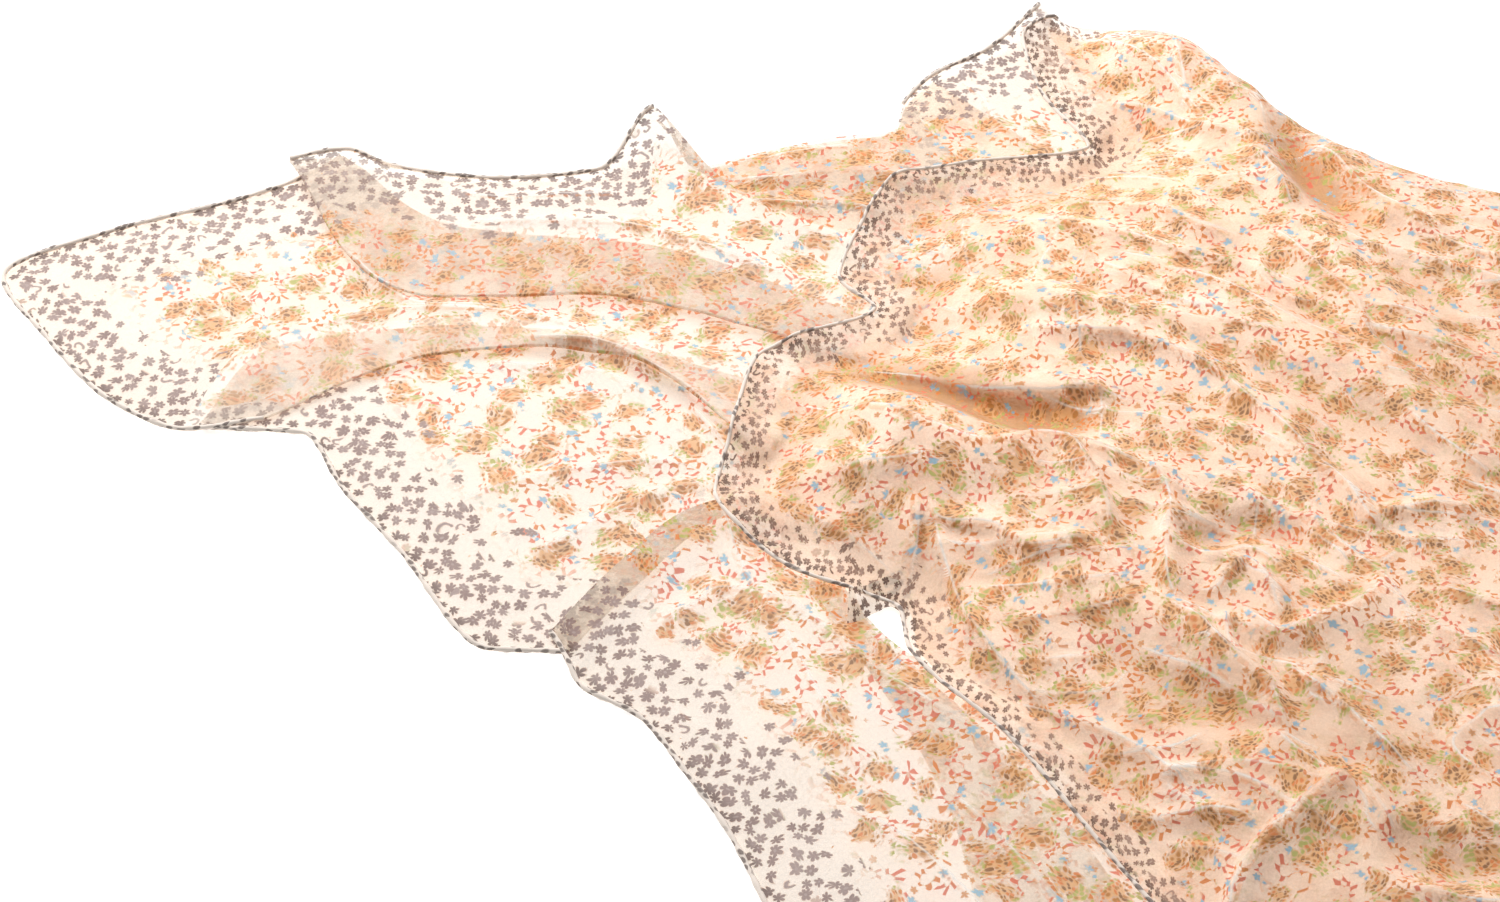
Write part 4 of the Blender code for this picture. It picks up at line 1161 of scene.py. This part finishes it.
def bouquets(s, place, inland):
    """Oval bunches of small strokes: their colour, how much they cover, and where none are near."""
    offset, turn, size, kind = s.cells(place, BOUQUET_SPACING, 0.92)
    angle = s.product(turn, 2 * np.pi)
    turned = s.node("VectorRotate", {"Vector": offset, "Angle": angle}, rotation_type="Z_AXIS").outputs[0]
    grown = s.product(s.linear(size, BOUQUET_RANGE, BOUQUET_LEAST), inland)
    oval = s.vector("MULTIPLY", turned, (1 / BOUQUET_HALF_LENGTH, 1 / BOUQUET_HALF_WIDTH, 0.0))
    reach = s.math("DIVIDE", s.vector("LENGTH", oval), s.math("MAXIMUM", grown, 0.05))
    laid = s.vector("MULTIPLY", turned, (1 / STROKE_LENGTH, 1 / STROKE_WIDTH, 0.0))
    own = s.vector("ADD", laid, s.node("CombineXYZ", {"X": s.product(kind, 40.0)}).outputs[0])
    strokes, shares = s.spots(own)
    ragged = s.linear(shares[0], STROKE_SHUFFLE, reach)
    body = s.under(ragged, BUNCH_END, 0.2)
    dot = s.under(strokes["Distance"], s.linear(shares[1], 0.24, 0.36), 0.3)
    outwards = s.linear(reach, 0.42, s.product(shares[2], 0.58))
    ramp = s.node("ValToRGB", {"Fac": outwards})
    ramp.color_ramp.interpolation = "CONSTANT"
    for k, (at, colour) in enumerate(STROKE_COLOURS):
        stop = ramp.color_ramp.elements[k] if k < 2 else ramp.color_ramp.elements.new(at)
        stop.position = at
        stop.color = (*colour, 1.0)
    at_end = s.math("ABSOLUTE", s.node("SeparateXYZ", {"Vector": oval}).outputs[0])
    leafy = s.product(s.over(at_end, LEAVES_FROM, 0.1), s.over(shares[1], 0.25, 0.05))
    colour = s.mix(dot, TAN, s.mix(leafy, ramp.outputs[0], OLIVE))
    fringe = s.over(ragged, FRINGE_FROM, 0.2)
    ground = s.linear(fringe, -0.45, 0.92)
    return colour, s.product(body, s.math("MAXIMUM", dot, ground)), s.over(reach, FREE_FROM, 0.15)


def sprigs(s, place, inland, free):
    """Sprigs of short leaves that fan out, and small buds, between the bunches."""
    shifted = s.vector("ADD", place, SPRIG_SHIFT)
    offset, turn, kind, there = s.cells(shifted, SPRIG_SPACING, 0.95)
    distance, angle = s.polar(offset, turn)
    fan = s.over(s.math("COSINE", angle), s.linear(there, -1.6, 0.5), 0.2)
    prongs = s.product(s.dashes(distance, angle, *SPRIG_PRONGS), fan)
    bud = s.under(distance, s.petals(angle, 5, BUD_RADIUS), 0.4)
    is_bud = s.under(kind, BUD_SHARE, 0.01)
    stroke = s.mix(s.over(kind, CORAL_UP_TO, 0.01), CORAL, ORANGE)
    colour = s.mix(is_bud, stroke, APRICOT)
    drawn = s.math("MAXIMUM", s.product(prongs, s.math("SUBTRACT", 1.0, is_bud)), s.product(is_bud, bud))
    return colour, s.product(drawn, inland, free, s.over(there, SPRIGS_LEFT_OUT, 0.02))


def blue_flowers(s, place, inland, free):
    """Sky-blue flowers, each with a smaller one beside it."""
    shifted = s.vector("ADD", place, BLUE_SHIFT)
    offset, turn, _, there = s.cells(shifted, BLUE_SPACING, 0.75)
    distance, angle = s.polar(offset, turn)
    flower = s.under(distance, s.petals(angle, 5, BLUE_RADIUS), 0.8)
    beside = s.vector("SUBTRACT", offset, BLUE_BUD_AT)
    bud = s.under(s.vector("LENGTH", beside), BLUE_BUD_RADIUS, 0.5)
    return s.product(s.math("MAXIMUM", flower, bud), inland, free, s.over(there, BLUE_LEFT_OUT, 0.02))


def border(s, place, hem_distance, size, tones, dark_within):
    """Taupe six-petalled flowers, crowded at the hem and thinning inwards, with a few commas among them."""
    stretch = s.node("Mapping", {"Vector": place, "Scale": (1 / size[0], 1 / size[1], 1.0)}).outputs[0]
    offset, turn, there, kind = s.cells(stretch, BORDER_SPACING, 0.65)
    distance, angle = s.polar(offset, turn)
    thin = s.node("FloatCurve", {"Value": s.product(hem_distance, 1 / BORDER_REACH)})
    shape = thin.mapping.curves[0].points
    for k, (at, level) in enumerate(BORDER_THINS):
        point = shape[k] if k < 2 else shape.new(at, level)
        point.location = (at, level)
    thin.mapping.update()
    flower = s.under(distance, s.petals(angle, 6, BORDER_FLOWER_RADIUS), 0.4)
    open_side = s.over(s.math("SINE", angle), -0.4, 0.3)
    ring = s.product(s.over(distance, COMMA_FROM, 0.4), s.under(distance, COMMA_TO, 0.4), open_side)
    is_comma = s.over(kind, BORDER_FLOWER_SHARE, 0.01)
    drawn = s.math("MAXIMUM", s.product(ring, is_comma), s.product(flower, s.math("SUBTRACT", 1.0, is_comma)))
    shown = s.over(there, thin.outputs[0], 0.02)
    tone = s.mix(s.linear(kind, 0.75, s.under(distance, 0.45, 0.4)), *tones)
    tone = s.mix(s.product(s.under(hem_distance, dark_within, 4.0), 0.8), tone, HEM_DARK)
    return tone, s.product(drawn, shown, s.under(hem_distance, BORDER_ENDS, 2.0))


def printed(s, place, hem_distance, small_print, border_look):
    """The whole print over the weave: its colour, and how much of it is ink."""
    inland = s.linear(hem_distance, 1 / INLAND_REACH, -INLAND_FROM / INLAND_REACH, clamp=True)
    colour, cover, free = bouquets(s, place, inland)
    if small_print:
        sprig_colour, sprig_cover = sprigs(s, place, inland, free)
        colour = s.mix(sprig_cover, colour, sprig_colour)
        cover = s.math("MAXIMUM", cover, sprig_cover)
        blue_cover = blue_flowers(s, place, inland, free)
        colour = s.mix(blue_cover, colour, SKY)
        cover = s.math("MAXIMUM", cover, blue_cover)
        border_colour, border_cover = border(s, place, hem_distance, *border_look)
        colour = s.mix(border_cover, colour, border_colour)
        cover = s.math("MAXIMUM", cover, border_cover)
    return colour, cover


# The noises of the cloth, in cells per millimetre, and how far the print wanders, in millimetres.
PATCH_SCALE = 0.032
MARK_SCALE = 0.045
WANDER_SCALE = 0.11
STREAK_SCALE = 0.30
CREPE_SCALE = 0.85
PRINT_WANDER = 5.0
# The slope and start that sharpen the patches and the marks.
PATCH_CONTRAST = (3.2, -1.3)
MARK_CONTRAST = (2.4, -0.6)
# The painted highlight line along a crest, and the streaks of print beside it, in millimetres.
CREST_LINE_WIDTH = 0.4
PRESSED_OFFSET = 1.7
PRESSED_HALF_WIDTH = 0.7
PRESSED_STRENGTH = 0.6
# How much denser the weave looks along a crest's line, where the cloth lies doubled, in a trough, as painted
# shade, and where it is veiled.
LINE_DENSER = 0.35
HOLLOW_SHADE_DENSER = 0.25
VEIL_DENSER = 0.08
# How much paler the cloth looks there, as a painted highlight on a crest and its line and as painted light
# where it is veiled, and how much its print fades.
CREST_HIGHLIGHT = 0.2
LINE_HIGHLIGHT = 0.8
VEIL_PAINTED_LIGHT = 0.8
HIGHLIGHT_FADES_PRINT = 0.6
VEIL_FADES = 0.40
# How much the crepe changes the weave's cover and its roughness.
UNEVEN = 0.25
CLOTH_ROUGHNESS = 0.78
SPECULAR = 0.25
CLOTH_SHEEN = 0.22
SHEEN_ROUGHNESS = 0.45
SHEEN_TINT = (1.0, 0.93, 0.85, 1.0)
HEM_SHEEN = 0.2
# How strong the relief of the crepe and of the hem's fuzz looks, and its depth in metres.
CREPE_RELIEF = (0.22, 0.0004)
HEM_RELIEF = (0.3, 0.0003)
# The rolled hem: how far its dashes slant, their half width, and how fine and how pale its fuzz is.
HEM_SLANT = 0.9
DASH_RADIUS = 0.42
FUZZ_SCALE = 1800.0
FUZZ_PALER = 0.3
HEM_ROUGHNESS = 0.65


def weave_colour(s, flat, weave, patchy, hollow, painted_highlight, veil_and_painted_light):
    """The unprinted cloth: pale in patches, with painted highlights on its creases, painted shade in its
    troughs and painted light where veiled.
    """
    patches = s.noise(flat, PATCH_SCALE, 2.0)
    paler = s.linear(patches["Fac"], *PATCH_CONTRAST, clamp=True)
    base = s.mix(s.product(paler, patchy), weave, WEAVE_PALE_AND_HIGHLIGHT)
    base = s.mix(hollow, base, WEAVE_HOLLOW_SHADE)
    base = s.mix(painted_highlight, base, WEAVE_PALE_AND_HIGHLIGHT)
    return s.mix(s.product(veil_and_painted_light, VEIL_PAINTED_LIGHT), base, WEAVE_VEILED_LIT)


def pressed_print(s, flat, signed, crest, colour):
    """The colour with streaks of print from the cloth's other side, seen edge-on beside a crease."""
    beside = s.under(s.math("ABSOLUTE", s.math("SUBTRACT", signed, PRESSED_OFFSET)), PRESSED_HALF_WIDTH, 0.6)
    streaks = s.noise(flat, STREAK_SCALE, 1.0)
    pressed = s.product(beside, s.over(crest, 0.30, 0.3), s.over(streaks["Fac"], 0.50, 0.12))
    pressed_ink = s.mix(s.over(streaks["Color"], 0.5, 0.2), OCHRE, ORANGE)
    return s.mix(s.product(pressed, PRESSED_STRENGTH), colour, pressed_ink)


def cloth_material(
    name, weave, weave_cover, ink_cover, ink_strength, small_print=True, border_look=BORDER_OPEN,
    shadow=(0.76, 0.73, 0.70), patchy=0.0, print_size=1.0,
):
    """Chiffon: a see-through crepe weave with a printed pattern over it."""
    s = Shading(name)
    edge = s.map_parts(EDGE_MAP)
    lines = s.map_parts(LINE_MAP)
    veil_and_painted_light = s.map_parts(VEIL_MAP)[0]
    hem_distance, crest = s.product(edge[0], 1000.0), edge[1]
    signed, hollow = s.product(lines[0], 1000.0), lines[1]
    flat = s.scaled(s.node("UVMap", uv_map=CLOTH_MAP).outputs[0], 1000.0 / print_size)
    wander = s.vector("SUBTRACT", s.noise(flat, WANDER_SCALE, 1.0)["Color"], (0.5, 0.5, 0.5))
    place = s.vector("ADD", flat, s.scaled(wander, PRINT_WANDER))
    ink_colour, ink = printed(s, place, hem_distance, small_print, border_look)
    crepe = s.noise(flat, CREPE_SCALE, 2.0)["Fac"]
    mottle = s.math("SUBTRACT", crepe, 0.5)
    uneven = s.noise(flat, MARK_SCALE, 0.0)["Fac"]
    marked = s.linear(uneven, *MARK_CONTRAST, clamp=True)
    # Painted highlight: a pale broken line along each crest and paler cloth near it, where a fold catches the
    # light; the line also thickens the cover, as the cloth lies doubled there, and fades the print.
    on_line = s.under(s.math("ABSOLUTE", signed), CREST_LINE_WIDTH, 0.6)
    fold_line_and_highlight = s.product(on_line, s.over(crest, 0.38, 0.35), marked)
    painted_highlight = s.linear(crest, CREST_HIGHLIGHT, s.product(fold_line_and_highlight, LINE_HIGHLIGHT), clamp=True)
    base = weave_colour(s, flat, weave, patchy, hollow, painted_highlight, veil_and_painted_light)
    ink = s.product(ink, s.linear(veil_and_painted_light, -VEIL_FADES, 1.0))
    ink_share = s.product(ink, s.linear(fold_line_and_highlight, -HIGHLIGHT_FADES_PRINT * ink_strength, ink_strength))
    colour = pressed_print(s, flat, signed, crest, s.mix(ink_share, base, ink_colour))
    cover = s.linear(mottle, UNEVEN, weave_cover)
    for field, denser in ((fold_line_and_highlight, LINE_DENSER), (hollow, HOLLOW_SHADE_DENSER), (veil_and_painted_light, VEIL_DENSER)):
        cover = s.linear(field, denser, cover)
    gap = s.math("MAXIMUM", s.math("SUBTRACT", ink_cover, cover), 0.0)
    s.surface(Base_Color=colour, Alpha=s.linear(ink, gap, cover, clamp=True))
    s.surface(Roughness=s.linear(mottle, UNEVEN, CLOTH_ROUGHNESS), Specular_IOR_Level=SPECULAR)
    s.surface(Sheen_Weight=CLOTH_SHEEN, Sheen_Roughness=SHEEN_ROUGHNESS, Sheen_Tint=SHEEN_TINT)
    s.bump(crepe, *CREPE_RELIEF)
    s.cast(shadow)
    return s.material


def hem_material(name, dash_length, dash_rows, left_out):
    """The rolled hem: pinkish beige with uneven slanting dark dashes from the border rolled into it."""
    s = Shading(name)
    parts = s.map_parts(CLOTH_MAP)
    along = s.product(parts[0], 1000.0 / dash_length)
    slanted = s.linear(parts[1], HEM_SLANT, along)
    around = s.product(parts[1], dash_rows)
    spots, shares = s.spots(s.node("CombineXYZ", {"X": slanted, "Y": around}).outputs[0])
    dash = s.product(s.over(shares[0], left_out, 0.05), s.under(spots["Distance"], DASH_RADIUS, 0.2))
    on_hem = s.node("TexCoord").outputs["Object"]
    fuzz = s.node("TexNoise", {"Vector": on_hem, "Scale": FUZZ_SCALE}).outputs["Fac"]
    colour = s.mix(s.product(dash, 0.9), HEM_PINK, HEM_DARK)
    s.surface(Base_Color=s.mix(s.product(fuzz, FUZZ_PALER), colour, WEAVE_PALE_AND_HIGHLIGHT))
    s.surface(Roughness=s.linear(fuzz, 0.2, HEM_ROUGHNESS))
    s.surface(Specular_IOR_Level=SPECULAR, Sheen_Weight=HEM_SHEEN)
    s.bump(fuzz, *HEM_RELIEF)
    s.cast(HEM_SHADOW)
    return s.material


# --- The pieces ---


def hem_distances(flat, offsets, turns=()):
    """Distance on the flat cloth to the hem, at the grid's first column, for each stretch between turns."""
    bounds = [0, *(turn + 1 for turn in turns), len(flat)]
    found = []
    for first, last in zip(bounds, bounds[1:]):
        part = flat[first:last]
        near, along = distance_to(part, part[:, 0])
        place = along * (len(part) - 1)
        found.append(near + np.interp(place, np.arange(len(part)), offsets[first:last]))
    return np.vstack(found)


# How far each piece's flat print is moved from its plan, so that no two show the same flowers.
UPPER_PRINT_SHIFT = (900.0, 400.0)
TURNED_PRINT_SHIFT = (-420.0, 260.0)
UNDER_PRINT_SHIFT = (-300.0, -260.0)
DOUBLE_PRINT_SHIFT = (180.0, -330.0)
FLAP_PRINT_SHIFT = (560.0, -70.0)
# How many times narrower than on the lower stretch the border is, by how far from the viewer it lies.
BORDER_NARROWED_AT = (-115.0, -75.0, 90.0, 150.0)
BORDER_NARROWED = (3.2, 2.3, 2.3, 1.9)
chiffon = cloth_material("chiffon", WEAVE_SHADED, weave_cover=0.52, ink_cover=0.90, ink_strength=0.94)
chiffon_upper = cloth_material(
    "chiffon_upper", WEAVE_UPPER_LIT, weave_cover=0.54, ink_cover=0.94, ink_strength=0.92,
    border_look=BORDER_SQUEEZED, shadow=(0.97, 0.95, 0.93), patchy=0.5, print_size=0.88,
)
chiffon_inner = cloth_material(
    "chiffon_inner", INNER_WEAVE_LIT, weave_cover=0.60, ink_cover=0.74, ink_strength=0.55,
    small_print=False, shadow=(0.96, 0.94, 0.92),
)
chiffon_crowded = cloth_material(
    "chiffon_crowded", WEAVE_SHADED, weave_cover=0.60, ink_cover=0.95, ink_strength=0.95, border_look=BORDER_CROWDED
)
hem_cloth = hem_material("rolled_hem", dash_length=3.2, dash_rows=3.0, left_out=0.42)
upper_hem_cloth = hem_material("rolled_hem_thin", dash_length=3.6, dash_rows=1.5, left_out=0.45)

# Where the cloth lies wrong side up or below another ply, so that its print is paler, and where its weave is
# painted paler as light against the shade of the plies on it: sections, how much paler, and how far its
# border is turned away.
VEILED = (
    ("tuck_far_edge_over", "tuck_far_edge_in", 0.7, 45.0),
    ("tuck_far_edge_out", "tuck_far_back_in", 0.9, 45.0),
    ("band_edge_over", "band_edge_in", 0.3, 0.0),
    ("band_edge_out", "band_back_in", 0.6, 0.0),
)
# Where the border is turned away, it stays up to the first distance from the hem and is gone at the sum.
AWAY_FROM = 6.0
AWAY_REACH = 4.0


def moved_plan(grid, shift):
    """The plan of a grid as its flat print, moved by a shift."""
    return grid[:, :, :2] + np.array(shift)


def row_veils(places, count):
    """How much paler each row of the lower stretch is, partly as painted light, and how far its border is
    turned away.
    """
    found = np.zeros((2, count, 1))
    for first, last, *values in VEILED:
        found[:, places[first] : places[last] + 1, 0] = np.array(values)[:, None]
    return found


lower, places, turns, hem_beyond = lower_grid()
lower_flat = unfolded(lower, turns)
lower_shape, lower_crest, lower_line = creased_lower(lower)
lower_hem_distance = hem_distances(lower_flat, hem_beyond, turns)
lower_veil_and_painted_light, turned_away = row_veils(places, len(lower))
lower_hem_distance += turned_away * ease((lower_hem_distance - AWAY_FROM) / AWAY_REACH)
lower_cloth = add_cloth(
    "lower_cloth", lower_shape, lower_flat, chiffon, lower_hem_distance, lower_crest, lower_line, lower_veil_and_painted_light
)

lower_top, lower_covers = top_map(lower_shape)
upper, upper_crest, upper_line, upper_shade_tint = upper_grid(lower_top)
upper_flat = flattened(upper, moved_plan(upper, UPPER_PRINT_SHIFT))
narrowed = np.interp(upper[:, 0, 1], BORDER_NARROWED_AT, BORDER_NARROWED)[:, None]
upper_hem_distance = narrowed * hem_distances(upper_flat, np.zeros(len(upper_flat)))
# The upper stretch's painted shade: the depth of its troughs and the ridge table's tint, which darken its
# colour.
upper_hollow_shade = np.clip(HOLLOW_SHADE_SHARE * hollows(upper) + upper_shade_tint, 0, 1)
upper_cloth = add_cloth(
    "upper_cloth", upper, upper_flat, chiffon_upper, upper_hem_distance, upper_crest, upper_line,
    hollow=upper_hollow_shade,
)

inner_plies = []
for ply in rows(INNER_COLUMNS, INNER_PLIES):
    grid = inner_grid(upper, lower_top, lower_covers, ply)
    inner_plies.append(add_cloth(ply["name"], grid, moved_plan(grid, ply["print_shift"]), chiffon_inner))

# The hem turned under the gather, and the ply between it and the floor.
# Their heights as shares of the cloth's above them, their widths inwards, and how far in they start.
TURNED_SHARE = 0.55
UNDER_SHARE = 0.25
TURNED_LEAST = 8.0
UNDER_WIDTH = 78.0
UNDER_INSET = 0.6


def under_ply(first, last, share, width, samples):
    """A ply under the lower stretch from one section to another, its width inwards given for each row."""
    grid = []
    for line, reach in zip(lower_shape[places[first] : places[last] + 1], width):
        walked = walked_along(line[:, :2])
        stations = np.linspace(UNDER_INSET, min(reach, walked[-1]), samples)
        grid.append(read_along(line, walked, stations))
    grid = np.array(grid)
    grid[:, :, 2] *= share
    return grid


turned_width = np.maximum(hem_beyond[places["patch_left"] : places["peak"] + 1], TURNED_LEAST)
turned = under_ply("patch_left", "peak", TURNED_SHARE, turned_width, 30)
turned_distance = turned_width[:, None] * np.linspace(1, 0, turned.shape[1])
turned_flat = moved_plan(turned, TURNED_PRINT_SHIFT)
# The turned hem is veiled, so its weave is painted paler as light and its print fades.
turned_hem = add_cloth("turned_hem", turned, turned_flat, chiffon, turned_distance, veil_and_painted_light=0.5)

under_width = np.full(places["notch"] - places["patch_bulge"] + 1, UNDER_WIDTH)
under_cloth = under_ply("patch_bulge", "notch", UNDER_SHARE, under_width, 40)
under_flat = moved_plan(under_cloth, UNDER_PRINT_SHIFT)
under_gather = add_cloth("under_gather", under_cloth, under_flat, chiffon_inner)

# The strip of the flare that lies double, from its fold to the hole's edge and on below the heap.
FLARE_FOLD = (
    (18, -66), (26, -82), (34, -97), (44, -117), (52, -134),
    (60, -155), (66, -175), (70, -200), (74, -228), (80, -258),
)
FLARE_FAR_EDGE = (
    (33, -58), (40, -84), (51, -102), (70, -125), (85, -147),
    (98, -166), (110, -187), (120, -208), (134, -234), (150, -262),
)
# The small flap at the flare's corner, from its top to its loose hem.
FLAP_TOP = ((34, -72), (39, -70), (44, -67), (50, -63), (57, -60))
FLAP_BOTTOM = ((33, -90), (38, -86), (43, -82), (48, -79), (54, -83))
# The double strip's height as a share of the cloth's above it, and in millimetres at least.
DOUBLE_SHARE = 0.5
DOUBLE_LEAST = 0.6
# The flap's distance to its hem, its height above the cloth at its top, how far it falls from there,
# and its ripples, in millimetres.
FLAP_HEM = 3.0
FLAP_LIFT = 2.6
FLAP_FALL = 1.2
RIPPLE_HEIGHT = 0.7
RIPPLE_LENGTH = 2.6
RIPPLE_SLANT = 2.0
RIPPLE_LEAST = 0.3
FLAP_PRINT_SIZE = (2.0, 1.5)


def between(first, last, count_along, count_across):
    """A plan grid from one smooth line to another."""
    start, end = curve(first, count_along), curve(last, count_along)
    share = np.linspace(0, 1, count_across)[None, :, None]
    return start[:, None] * (1 - share) + end[:, None] * share


double_plan = between(FLARE_FOLD, FLARE_FAR_EDGE, 90, 26)
double_height = np.maximum(DOUBLE_SHARE * read_map(lower_top, double_plan), DOUBLE_LEAST)
double = np.dstack([double_plan, double_height])
# The double strip is veiled, so its weave is painted paler as light and its print fades.
flare_double = add_cloth("flare_double", double, moved_plan(double, DOUBLE_PRINT_SHIFT), chiffon, veil_and_painted_light=0.7)

flap_plan = between(FLAP_TOP, FLAP_BOTTOM, 34, 24)
fall = np.linspace(0, 1, flap_plan.shape[1])[None, :]
ripple = RIPPLE_HEIGHT * np.sin(flap_plan[:, :, 0] / RIPPLE_LENGTH + RIPPLE_SLANT * fall)
flap_lift = read_map(lower_top, flap_plan) + FLAP_LIFT
flap_height = flap_lift - FLAP_FALL * fall + ripple * rising(RIPPLE_LEAST, fall)
flap_flat = flap_plan * np.array(FLAP_PRINT_SIZE) + np.array(FLAP_PRINT_SHIFT)
flap_grid = np.dstack([flap_plan, flap_height])
flap = add_cloth("hem_flap", flap_grid, flap_flat, chiffon_crowded, FLAP_HEM)

hems = []
for run in rows(HEM_RUN_COLUMNS, LOWER_HEM_RUNS):
    shown = slice(places[run["first"]], places[run["last"]] + 1)
    hem = add_hem(run["name"], lower_shape[shown, 0], lower_shape[shown, 1], hem_cloth)
    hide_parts(run["node"])
    hems.append(hem)
upper_hem = add_hem("upper_hem", upper[:, 0], upper[:, 1], upper_hem_cloth, UPPER_HEM_RADIUS)
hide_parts("upper_end_hem")

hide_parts("lower_stretch")
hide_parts("upper_stretch")
for ply in inner_plies:
    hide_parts("hidden_layers")

SLOTS = (
    ("chiffon", (lower_cloth, upper_cloth, turned_hem, flare_double, flap)),
    ("inner_plies", (*inner_plies, under_gather)),
    ("rolled_hem", (*hems, upper_hem)),
)
for slot, pieces in SLOTS:
    for piece in pieces:
        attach(piece, "root")


# --- Floor, light and camera ---

FLOOR_HALF = 3.0
# Enough bounces for light to pass through every ply of the heap.
TRANSPARENT_BOUNCES = 16
ALL_BOUNCES = 7
DIFFUSE_BOUNCES = 5
# The camera's plan position in the tables' millimetres, its height in metres and its angles in degrees.
CAMERA_PLAN = (0.0, -876.06)
CAMERA_HEIGHT = 0.846
CAMERA_ELEVATION = 44.0
CAMERA_FIELD = 25.0
# Name, place in metres, side in metres and power in watts.
SOFTBOXES = (
    ("key_softbox", (-0.60, 1.35, 1.30), 0.7, 21.5),
    ("overhead_softbox", (-0.50, 0.80, 1.10), 1.0, 10.0),
)
WORLD_STRENGTH = 0.30
FLOOR_GLOW = 0.30
FLOOR_TONES = ((0.93, 0.93, 0.93), (0.95, 0.95, 0.95))
WHITE = (1.0, 1.0, 1.0, 1.0)


def add_floor():
    """A pale floor, which glows a little, as a lit studio sweep does."""
    s = Shading("floor")
    fleck = s.node("TexNoise", {"Vector": s.node("TexCoord").outputs["Object"], "Scale": 40.0})
    s.surface(Base_Color=s.mix(fleck.outputs["Fac"], *FLOOR_TONES), Roughness=0.9, Specular_IOR_Level=0.0)
    s.surface(Emission_Color=WHITE, Emission_Strength=FLOOR_GLOW)
    corners = [(x * FLOOR_HALF, y * FLOOR_HALF, 0) for x, y in ((-1, -1), (1, -1), (1, 1), (-1, 1))]
    add_mesh("floor", corners, [(0, 1, 2, 3)], s.material)


def add_area_light(name, location, size, power):
    """A square softbox that faces the frame's origin."""
    data = bpy.data.lights.new(name, "AREA")
    data.energy = power
    data.size = size
    light = bpy.data.objects.new(name, data)
    light.location = location
    light.rotation_euler = (-Vector(location)).to_track_quat("-Z", "Y").to_euler()
    COLLECTION.objects.link(light)


add_floor()
for softbox in SOFTBOXES:
    add_area_light(*softbox)

world = bpy.data.worlds.new("studio")
world.use_nodes = True
background = world.node_tree.nodes["Background"]
background.inputs["Color"].default_value = WHITE
background.inputs["Strength"].default_value = WORLD_STRENGTH
scene = bpy.context.scene
scene.world = world
scene.view_settings.view_transform = "Standard"
scene.cycles.transparent_max_bounces = TRANSPARENT_BOUNCES
scene.cycles.max_bounces = ALL_BOUNCES
scene.cycles.diffuse_bounces = DIFFUSE_BOUNCES

camera_data = bpy.data.cameras.new("camera")
camera_data.angle = np.radians(CAMERA_FIELD)
camera_data.clip_start = 0.01
camera = bpy.data.objects.new("camera", camera_data)
camera.location = (
    (CAMERA_PLAN[0] - PLAN_MIDDLE[0]) * MM,
    (CAMERA_PLAN[1] - PLAN_MIDDLE[1]) * MM,
    CAMERA_HEIGHT,
)
camera.rotation_euler = (np.radians(90.0 - CAMERA_ELEVATION), 0.0, 0.0)
COLLECTION.objects.link(camera)
scene.camera = camera
